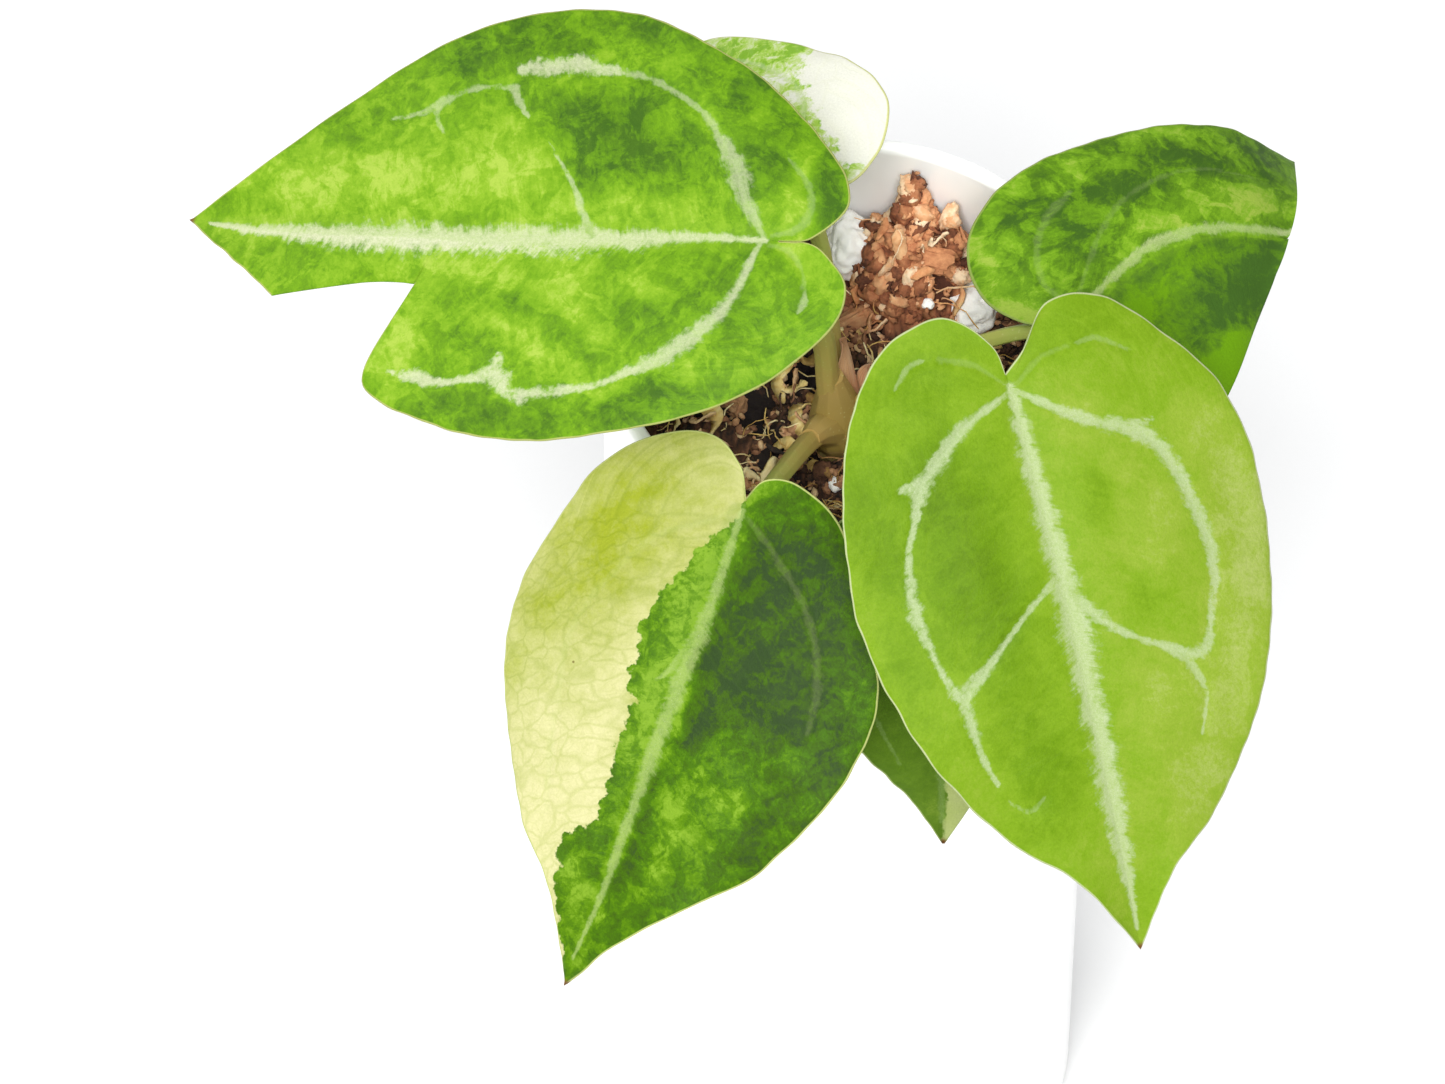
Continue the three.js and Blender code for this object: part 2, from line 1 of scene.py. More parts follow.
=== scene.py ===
# %% [markdown]
# # A variegated anthurium magnificum in a plain white pot
# The plant has six heart-shaped leaves on winged stalks that rise from one short stem. Each leaf is marbled
# in its own way, because the patches without green pigment were laid down while the leaf grew. The packed
# solids give every size and place, and this lesson dresses them with finer meshes and finishes.

import json
import math

import bmesh
import bpy
import numpy as np
from mathutils import Euler, Matrix, Vector, noise
from mathutils.bvhtree import BVHTree
from mathutils.kdtree import KDTree

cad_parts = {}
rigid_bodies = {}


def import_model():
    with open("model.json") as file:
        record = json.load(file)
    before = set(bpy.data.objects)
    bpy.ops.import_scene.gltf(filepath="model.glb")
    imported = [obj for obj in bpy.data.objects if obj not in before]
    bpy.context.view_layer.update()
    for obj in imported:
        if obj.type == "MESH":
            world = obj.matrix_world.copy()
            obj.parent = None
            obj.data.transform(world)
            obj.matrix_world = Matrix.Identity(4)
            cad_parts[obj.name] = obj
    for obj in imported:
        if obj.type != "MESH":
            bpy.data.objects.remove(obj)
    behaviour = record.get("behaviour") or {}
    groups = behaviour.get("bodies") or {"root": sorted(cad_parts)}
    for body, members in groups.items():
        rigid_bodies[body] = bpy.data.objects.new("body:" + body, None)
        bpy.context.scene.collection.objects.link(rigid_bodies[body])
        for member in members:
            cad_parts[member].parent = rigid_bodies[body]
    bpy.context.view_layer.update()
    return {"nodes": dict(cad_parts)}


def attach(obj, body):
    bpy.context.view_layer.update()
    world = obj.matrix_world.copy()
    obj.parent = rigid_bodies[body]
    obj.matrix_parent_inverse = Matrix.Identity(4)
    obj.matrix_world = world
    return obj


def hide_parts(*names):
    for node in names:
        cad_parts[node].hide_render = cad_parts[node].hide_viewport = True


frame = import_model()
MM = 0.001
scene = bpy.context.scene
print("solids in the frame:", ", ".join(sorted(frame["nodes"])))

# %% [markdown]
# ## Camera, floor and light
# The plant was pictured from about 55 degrees above the horizon with a long lens, on white, in very soft
# light. A studio gets that with a white table, a bright tent round it and big soft lamps. Here the world is
# the tent, and two area lamps are the main light and the light from the window side, so shadows stay pale.
# The standard view transform keeps white white, as a bright product picture does.

# %% Camera
CAMERA_PLACE = (-0.0261, -1.1705, 1.8761)
CAMERA_TILT = math.radians(34.82)
LENS = 250
SENSOR_WIDTH = 36


def add_object(name, data):
    """A new object in the scene, at the origin."""
    made = bpy.data.objects.new(name, data)
    scene.collection.objects.link(made)
    return made


camera = add_object("camera", bpy.data.cameras.new("camera"))
camera.data.lens = LENS
camera.data.sensor_width = SENSOR_WIDTH
camera.data.clip_end = 20
camera.location = CAMERA_PLACE
camera.rotation_euler = (CAMERA_TILT, 0, 0)
scene.camera = camera
scene.view_settings.view_transform = "Standard"
print(f"camera with a {LENS} mm lens, {math.degrees(CAMERA_TILT):.1f} degrees off straight down")


# %% Helpers that build node trees
def fill(socket, value):
    """Links another node's output to an input, or sets a constant on it."""
    if isinstance(value, bpy.types.NodeSocket):
        socket.id_data.links.new(value, socket)
    else:
        socket.default_value = value


def node(tree, kind, inputs=None, **settings):
    """Adds a node, gives it its settings, then fills its inputs, known by name or number."""
    made = tree.nodes.new(kind)
    for key, value in settings.items():
        setattr(made, key, value)
    for key, value in (inputs or {}).items():
        fill(made.inputs[key], value)
    return made


def output_of(tree, kind, inputs=None, **settings):
    """The first output of a new node."""
    return node(tree, kind, inputs, **settings).outputs[0]


def tree_of(values):
    """The node tree of the first value that comes from another node."""
    return next(value.id_data for value in values if isinstance(value, bpy.types.NodeSocket))


def calc(operation, *values, clamp=False):
    """One step on numbers, of which one at least comes from another node."""
    inputs = dict(enumerate(values))
    return output_of(tree_of(values), "ShaderNodeMath", inputs, operation=operation, use_clamp=clamp)


def plus(first, second, clamp=False):
    """A sum, kept from 0 to 1 where clamp is set."""
    return calc("ADD", first, second, clamp=clamp)


def times(first, second):
    """A product."""
    return calc("MULTIPLY", first, second)


def between(value, low, high, to_low=0.0, to_high=1.0):
    """Eases value from to_low to to_high as it goes from low to high."""
    inputs = {"Value": value, "From Min": low, "From Max": high, "To Min": to_low, "To Max": to_high}
    return output_of(value.id_data, "ShaderNodeMapRange", inputs, interpolation_type="SMOOTHSTEP")


def on_vectors(operation, first, second=(0, 0, 0)):
    """One step on places or directions. LENGTH and DISTANCE give a number, the others a vector."""
    made = node(first.id_data, "ShaderNodeVectorMath", {0: first, 1: second}, operation=operation)
    return made.outputs["Value" if operation in ("LENGTH", "DISTANCE") else "Vector"]


def blend(amount, first, second, mode="MIX"):
    """Two colours mixed by an amount."""
    inputs = {0: amount, 6: first, 7: second}
    tree = tree_of(inputs.values())
    return node(tree, "ShaderNodeMix", inputs, data_type="RGBA", blend_type=mode).outputs[2]


def colour(code):
    """A colour written as on a paint chart, such as "d0e0a0", in the linear numbers that shaders use."""
    parts = [int(code[i : i + 2], 16) / 255 for i in (0, 2, 4)]
    return (*[p / 12.92 if p <= 0.04045 else ((p + 0.055) / 1.055) ** 2.4 for p in parts], 1.0)


def coat(skin, mask, code):
    """One more colour laid over a skin where its mask is."""
    return blend(mask, skin, colour(code))


def colour_ramp(value, places, codes):
    """A run of colours along a value. Each code, with spaces between, has its place from 0 to 1."""
    made = node(value.id_data, "ShaderNodeValToRGB", {0: value})
    elements = made.color_ramp.elements
    while len(elements) < len(places):
        elements.new(0.5)
    for element, place, code in zip(elements, places, codes.split()):
        element.position = place
        element.color = colour(code)
    return made.outputs["Color"]


def new_material(name, roughness, **constants):
    """A material with its shader. Values that are the same all over are set on the shader's own sockets."""
    material = bpy.data.materials.new(name)
    material.use_nodes = True
    shader = material.node_tree.nodes["Principled BSDF"]
    shader.inputs["Roughness"].default_value = roughness
    for key, value in constants.items():
        shader.inputs[key.replace("_", " ")].default_value = value
    return material, material.node_tree, shader.inputs


def object_place(tree):
    """The place of a point on the piece, in metres."""
    return node(tree, "ShaderNodeTexCoord").outputs["Object"]


def noise_at(place, scale, detail=3.0, roughness=0.55, distortion=0.0):
    """Cloudy noise, centred on 0, at a place given in any units."""
    keys = ("Vector", "Scale", "Detail", "Roughness", "Distortion")
    inputs = dict(zip(keys, (place, scale, detail, roughness, distortion)))
    return calc("SUBTRACT", output_of(place.id_data, "ShaderNodeTexNoise", inputs), 0.5)


def dots_at(place, scale):
    """Distance to the nearest of many scattered dots, in parts of their spacing."""
    return output_of(place.id_data, "ShaderNodeTexVoronoi", {"Vector": place, "Scale": scale})


def stretched(place, *scale):
    """A place drawn out, so that a pattern on it gets a grain."""
    return output_of(place.id_data, "ShaderNodeMapping", {"Vector": place, "Scale": scale})


def bump(surface, height, distance, strength=1.0):
    """Feeds a height, in parts of distance in millimetres, to a shader's normal."""
    inputs = {"Strength": strength, "Distance": distance * MM, "Height": height}
    fill(surface["Normal"], node(height.id_data, "ShaderNodeBump", inputs).outputs["Normal"])


# %% Floor and light
FLOOR_SIZE = 6.0
TENT_BRIGHTNESS = 0.62
LAMP_TARGET = Vector((0, 0, 0.25))
LAMPS = {
    "window": dict(place=(-1.5, 0.5, 1.6), size=1.5, power=20),
    "front": dict(place=(-0.15, -1.5, 2.3), size=1.2, power=90),
}

paper, tree, surface = new_material("floor paper", roughness=0.9)
grain = plus(noise_at(object_place(tree), 900), 0.5)
fill(surface["Base Color"], blend(grain, colour("e2e2e2"), colour("e0e0e0")))

half = FLOOR_SIZE / 2
corners = [(-half, -half, 0), (half, -half, 0), (half, half, 0), (-half, half, 0)]
floor_mesh = bpy.data.meshes.new("floor")
floor_mesh.from_pydata(corners, [], [(0, 1, 2, 3)])
floor_mesh.materials.append(paper)
floor = add_object("floor", floor_mesh)

tent = bpy.data.worlds.new("tent")
tent.use_nodes = True
tent_light = tent.node_tree.nodes["Background"].inputs
tent_light["Color"].default_value = (0.98, 0.99, 1.0, 1.0)
tent_light["Strength"].default_value = TENT_BRIGHTNESS
scene.world = tent
for name, facts in LAMPS.items():
    lamp = add_object(name, bpy.data.lights.new(name, "AREA"))
    lamp.data.size = facts["size"]
    lamp.data.energy = facts["power"]
    lamp.location = facts["place"]
    lamp.rotation_euler = (LAMP_TARGET - Vector(facts["place"])).to_track_quat("-Z", "Y").to_euler()
print(f"floor {FLOOR_SIZE:.0f} m wide, {len(LAMPS)} soft lamps and a tent at {TENT_BRIGHTNESS}")

# %% [markdown]
# ## Meshes and pieces
# Every piece is built straight in the plant's own frame, in millimetres, and scaled to metres once. Its
# object then sits at the origin, unturned, so a finish on Object coordinates keeps its place on it.

# %% Helpers that build pieces
def build_mesh(name, points, faces, smooth=True):
    """A mesh from points in millimetres and faces as lists of corner numbers."""
    mesh = bpy.data.meshes.new(name)
    mesh.from_pydata((np.asarray(points, float) * MM).tolist(), [], np.asarray(faces).tolist())
    mesh.polygons.foreach_set("use_smooth", np.full(len(mesh.polygons), smooth))
    mesh.update()
    return mesh


def shaped_ball(name, levels, moved_point, smooth):
    """A fine ball whose every point, given as a direction, moves to a place in millimetres."""
    form = bmesh.new()
    bmesh.ops.create_icosphere(form, subdivisions=levels, radius=1)
    for vertex in form.verts:
        vertex.co = moved_point(vertex.co.copy()) * MM
    mesh = bpy.data.meshes.new(name)
    form.to_mesh(mesh)
    form.free()
    mesh.polygons.foreach_set("use_smooth", np.full(len(mesh.polygons), smooth))
    return mesh


def store(mesh, name, values):
    """Keeps one number or one vector for each point of a mesh, for its finish to read."""
    values = np.asarray(values, np.float32)
    kind, field = ("FLOAT", "value") if values.ndim == 1 else ("FLOAT_VECTOR", "vector")
    mesh.attributes.new(name, kind, "POINT").data.foreach_set(field, values.ravel())


def stored(tree, name, field="Fac"):
    """A finish reads back what store() kept."""
    return node(tree, "ShaderNodeAttribute", attribute_name=name).outputs[field]


def add_piece(name, mesh, material, solid):
    """Puts a finished mesh on the plant, in place of the solid it stands for."""
    if material is not None:
        mesh.materials.clear()
        mesh.materials.append(material)
    piece = add_object(name, mesh)
    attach(piece, "root")
    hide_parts(solid)
    size = [round(d / MM) for d in piece.dimensions]
    print(f"{name}: {len(mesh.polygons)} faces, {size[0]} x {size[1]} x {size[2]} mm")


# %% [markdown]
# ## Leaf outlines
# A blade of this species is a heart with two rounded lobes behind the point where the stalk meets it. The
# left leaf has a piece missing from its margin and the right one is cut straight across. Each outline is two
# rows of points in the leaf's own plane, in millimetres: x runs from the hub to the tip and y to the left.
# The rows are the ones that the solids were made from, so the finer blades lie where the solids are. Every
# inner list is one smooth stretch, and stretches meet at a corner.

# %% Leaf outlines and how each blade hangs
LEAVES = {
    "leaf_left": dict(
        hub=(-17.6, -7.7, 307), heading=166, slope=15, roll=-20, length=122, bow=8, fold=1.5, curl=5,
        sway=3.5, wave=1.3, waves=3.5, phase=0.4, end=(122, 0),
        right=[[(-2.5, 0), (-9, -1.2), (-15, -9), (-10, -19), (4, -32), (20, -40.5), (37, -45.8),
                (55, -43), (75, -33.5), (93, -21), (106, -9.5), (122, 0)]],
        left=[[(-2.5, 0), (-10, 0.5), (-16.5, 8), (-14, 17), (-2, 29), (14, 38), (32, 42.6),
               (50, 43.5), (66, 40.5), (75, 36.5), (76.5, 32), (72, 22), (68, 14)],
              [(68, 14), (80, 13.8), (99, 17)], [(99, 17), (109, 9.5), (122, 0)]],
        cut=[("left", 1)],
        stalk=[(-3.5, -3.2, 240), (-5, -3.8, 254), (-6.5, -4.8, 272), (-12, -7.5, 292)], girth=2.5),
    "leaf_back": dict(
        hub=(-12.4, 18.7, 291), heading=126, slope=30, roll=-14, length=80, bow=6, fold=1.5, curl=3,
        sway=0, wave=0.9, waves=3, phase=1.4, end=(80, 0),
        right=[[(-2.5, 0), (-7.5, -1.5), (-10.4, -6.5), (-9.4, -13), (-6.6, -19), (-1.4, -25), (5, -27.4),
                (13, -28), (22, -27.2), (33, -24.2), (45, -18.6), (58, -11.2), (69, -5), (80, 0)]],
        left=[[(-2.5, 0), (-8, 3), (-11.5, 11), (-8, 20), (2, 27), (14, 28.5), (27, 26.5),
               (41, 20.5), (55, 12.5), (68, 5), (80, 0)]],
        stalk=[(-3.2, 0.5, 242), (-4, 4, 252), (-4.9, 9, 261), (-6.4, 14.5, 274), (-9, 17.3, 284)],
        girth=2.0),
    "leaf_right": dict(
        hub=(43.1, -6.8, 279), heading=27, slope=26, roll=16, length=83, bow=13, fold=1.5, curl=5,
        sway=7, wave=1.1, waves=3, phase=2.3, end=(48.5, 7.5),
        left=[[(-2.5, 0), (-8, 3), (-12, 11), (-11, 22), (-4, 31), (8, 36), (28, 38.3), (48, 36), (67, 29)],
              [(67, 29), (48.5, 7.5)]],
        right=[[(-2.5, 0), (-9, -2.5), (-12, -11), (-8, -21), (1, -29.5), (13, -34)],
               [(13, -34), (48.5, 7.5)]],
        cut=[("left", 1), ("right", 1)],
        stalk=[(-2, -3.5, 240), (5, -4, 252), (19, -3, 263), (35, -4, 272)], girth=2.1),
    "leaf_front_right": dict(
        hub=(29.1, -42.9, 307), heading=-72, slope=42, roll=0, length=113, bow=7, fold=2, curl=5,
        sway=-0.5, wave=1.2, waves=3.5, phase=0, end=(113, 0),
        right=[[(-2.5, 0), (-9, -1.5), (-16, -9.5), (-13, -21), (-2, -31), (12, -37), (30, -39.8),
                (46, -38.8), (66, -33), (84, -22), (97, -9.5), (113, 0)]],
        left=[[(-2.5, 0), (-6.5, 4.5), (-14, 11.5), (-12, 23), (-3, 32), (9, 40.3), (25, 43.7),
               (44, 42.3), (60, 37.5), (76, 30), (90, 19), (99, 8.5), (113, 0)]],
        stalk=[(-1, -5, 240), (6, -12, 251), (16, -26, 275), (26, -39, 296)], girth=2.3),
    "leaf_front_left": dict(
        hub=(-22.3, -53.6, 281), heading=-117, slope=40, roll=0, length=100, bow=6, fold=2, curl=4,
        sway=2.3, wave=1.2, waves=3.5, phase=2, end=(100, 0),
        right=[[(-2.5, 0), (-8, -4), (-11, -12), (-7, -22), (2, -29.5), (14, -33.4), (27, -35.8),
                (40, -34), (55, -28), (70, -19.5), (82, -8.5), (100, 0)]],
        left=[[(-2.5, 0), (-7, 2), (-8.5, 8), (-5, 18), (3, 26.5), (14, 34), (24, 39), (37, 39.7),
               (50, 36.5), (66, 28), (77, 17.5), (88, 8), (100, 0)]],
        stalk=[(-4.5, -4, 239), (-8.5, -12, 246), (-14, -30, 261), (-19.5, -48, 275)], girth=2.3),
    "leaf_low": dict(
        hub=(13, -56.5, 270.5), heading=-81, slope=64, roll=0, length=66, bow=4, fold=1.5, curl=3,
        sway=0, wave=0.8, waves=3, phase=1, end=(66, 0),
        right=[[(-2.5, 0), (-8, -3), (-10, -10), (-5, -19), (6, -24), (18, -24.5), (30, -21),
                (42, -14), (53, -6.5), (66, 0)]],
        left=[[(-2.5, 0), (-8, 3), (-10, 10), (-5, 19), (6, 24), (18, 24.5), (30, 21.5),
               (42, 15), (54, 7.5), (66, 0)]],
        stalk=[(-0.5, -5.5, 237), (4, -12, 244), (9, -28, 262), (11.5, -43, 271.5)], girth=2.0),
}
longest = max(leaf["length"] for leaf in LEAVES.values())
print(f"{len(LEAVES)} leaves, the longest {longest} mm from hub to tip")

# %% [markdown]
# ## Vein lines
# The silver bands that give the species its name lie along a few strong veins: the midrib, a curved vein
# down each half, one in each lobe, and short ones that join them. Each vein is a line of points with the
# half-width of its silver band, and a strength from 0 to 1. Bands drawn as lines keep their width when the
# blade bends, which a painted picture would not, and the same lines press the grooves and ribs into the
# blade.

# %% Vein lines of each leaf
VEINS = {
    "leaf_left": [
        (1.0, [(0, 0, 0.5), (13, 1, 0.9), (28, 3, 1.8), (40, 4, 2.3), (58, 4.8, 2.2), (73, 5, 2.3),
               (86, 4.5, 1.9), (97, 3.8, 1.3), (108, 2.6, 0.8), (117, 1, 0.3)]),
        (0.5, [(0, 0, 0.5), (5, -8, 1.5), (8, -15, 1.5), (12, -20.5, 0.9)]),
        (0.4, [(12, -20.5, 0.9), (16, -25, 0.5), (25, -30, 0.5), (32, -32, 0.7)]),
        (0.75, [(32, -32, 0.7), (38, -32.6, 1.0), (43, -33, 1.6), (48, -32.2, 1.6), (53, -31, 1.0)]),
        (0.5, [(50, -21, 0.3), (53, -25, 0.7), (54, -27, 0.8)]),
        (0.4, [(54, -27, 0.6), (58, -27, 0.4), (64, -26, 0.6), (69, -23, 0.9), (73, -21, 0.4),
               (79, -20, 0.4)]),
        (0.4, [(69, -23, 0.6), (69, -20, 0.4), (67, -17, 0.3)]),
        (0.5, [(33, 3, 0.9), (36, -2, 0.7), (39, -8, 0.4), (45, -16, 0.2)]),
        (0.65, [(1, 1, 0.4), (4, 11, 0.8), (8, 18, 1.2), (15, 25, 1.4), (21, 28.5, 1.0)]),
        (0.75, [(21, 28.5, 0.8), (28, 32, 0.5), (34, 33.5, 0.7), (40, 34.5, 0.9), (47, 35, 0.5)]),
        (0.8, [(44, 36, 1.0), (47, 34.5, 1.0), (49, 32, 1.6), (54, 32.5, 0.7), (60, 33.5, 0.6), (65, 33, 1.1),
               (72, 32, 0.3)]),
        (0.8, [(49, 32, 1.4), (49, 28, 0.7)]),
        (0.15, [(-1, -1, 0.4), (-6, -3, 0.7), (-8, -8, 0.7), (-6, -13, 0.5), (-2, -17, 0.3)]),
        (0.12, [(-1, 1, 0.4), (-5, 2, 0.6), (-8, 6, 0.4), (-8.5, 9, 0.5)]),
        (0.4, [(-9, 10, 0.3), (-9, 12, 0.6), (-8, 14, 0.3)]),
    ],
    "leaf_back": [
        (0.6, [(0, 0, 0.5), (20, 0, 1.0), (45, 0, 1.1), (70, 0, 0.4)]),
        (0.4, [(0, 0, 0.3), (7, -10, 0.6), (18, -17, 0.6), (34, -16, 0.5), (46, -10, 0.3)]),
        (0.4, [(0, 0, 0.3), (7, 10, 0.6), (18, 17, 0.6), (34, 16, 0.5), (46, 10, 0.3)]),
    ],
    "leaf_right": [
        (0.75, [(0, -1, 0.4), (5, 4, 0.6), (10, 7, 0.8), (16, 10, 0.9), (21, 11.2, 1.0), (29, 11.8, 1.1),
                (37, 11, 0.9), (50, 8.5, 0.8)]),
        (0.12, [(-1, 5, 0.3), (-3, 10, 0.5), (-1, 18, 0.5), (3, 23, 0.7), (9, 27, 0.5)]),
        (0.1, [(2, 5, 0.3), (9, 15, 0.5), (19, 23, 0.5), (34, 26, 0.4), (50, 22, 0.3)]),
        (0.1, [(1, -1, 0.3), (6, -10, 0.4), (13, -17, 0.4), (20, -20, 0.3)]),
    ],
    "leaf_front_right": [
        (1.0, [(0, 0, 0.8), (5, 0, 1.2), (15, 0, 1.7), (30, 0.2, 1.8), (40, 0.3, 2.1), (46, 0.3, 2.6),
               (52, 0.2, 2.2), (65, 0, 2.0), (80, 0, 2.0), (92, 0, 1.4), (100, 0, 0.8), (109, 0, 0.3)]),
        (0.8, [(1, -1, 0.5), (5, -11, 1.0), (11, -19, 1.3), (14, -22.5, 1.4), (20, -25, 0.6), (27, -28, 0.6),
               (37, -29, 1.1), (48, -27.5, 0.6), (55, -25, 1.0)]),
        (0.8, [(13, -21.5, 1.0), (13.5, -26, 0.6)]),
        (0.75, [(38, -2, 0.6), (42, -8, 0.5), (46, -13, 0.5), (51, -19, 0.9), (55, -24, 1.1), (60, -24, 1.0),
                (66, -23.5, 0.6), (73, -21.5, 0.4)]),
        (0.75, [(1, 1, 0.5), (9, 12, 1.0), (15, 23, 1.4), (22, 27, 1.2), (30, 29, 1.2), (38, 30.3, 1.1),
                (45, 29.8, 0.8), (52, 27, 0.6), (58, 25, 0.8)]),
        (0.7, [(13, 20, 1.0), (12.5, 25.5, 0.5)]),
        (0.75, [(41, 1, 1.7), (47, 5.5, 1.1), (51, 10, 0.6), (55, 16, 0.7), (58, 21, 1.3), (58, 24, 0.9)]),
        (0.6, [(58, 20, 0.9), (63, 22, 0.6), (67, 22.5, 0.4), (74, 20, 0.3)]),
        (0.12, [(-1, -1, 0.3), (-6, -6, 0.5), (-8.5, -12, 0.6)]),
        (0.35, [(-9, -15, 0.3), (-8.5, -18, 0.5), (-5, -22, 0.3)]),
        (0.1, [(0, 1, 0.3), (-4, 7, 0.5), (-5, 13, 0.5)]),
        (0.2, [(-5, 15, 0.3), (-5, 19, 0.5), (-3, 22, 0.4), (-1, 25, 0.3)]),
        (0.25, [(77, -20, 0.3), (80, -16.5, 0.4), (78, -13, 0.3)]),
    ],
    "leaf_front_left": [
        (0.62, [(0, 0, 0.6), (8, 1, 0.8), (18, 2, 1.1), (30, 2.2, 1.5), (45, 2.2, 1.4), (60, 2.2, 1.0),
               (79, 2, 0.6), (94, 0.2, 0.3)]),
        (0.4, [(27, 1, 0.9), (33, -0.5, 0.6), (36, -2.5, 0.4)]),
        (0.1, [(1, 2, 0.4), (4, 8, 0.6), (8, 14, 0.7), (13, 20, 0.6), (19, 24.5, 0.7), (27, 28, 0.8),
                (35, 29.5, 0.4)]),
        (0.12, [(-1, 0, 0.4), (5, -6, 0.6), (10, -13, 0.6), (19, -18, 0.6), (27, -21, 0.6), (36, -22, 0.6),
                (45, -20, 0.6), (59, -17, 0.6), (68, -14, 0.4)]),
    ],
    "leaf_low": [
        (0.35, [(0, 0, 0.5), (30, 0, 0.9), (60, 0, 0.5)]),
        (0.25, [(0, 0, 0.3), (6, -9, 0.5), (16, -15, 0.5), (30, -13, 0.4), (44, -8, 0.3)]),
        (0.25, [(0, 0, 0.3), (6, 9, 0.5), (16, 15, 0.5), (30, 13, 0.4), (44, 8, 0.3)]),
    ],
}
print("vein lines:", {name: len(lines) for name, lines in VEINS.items()})
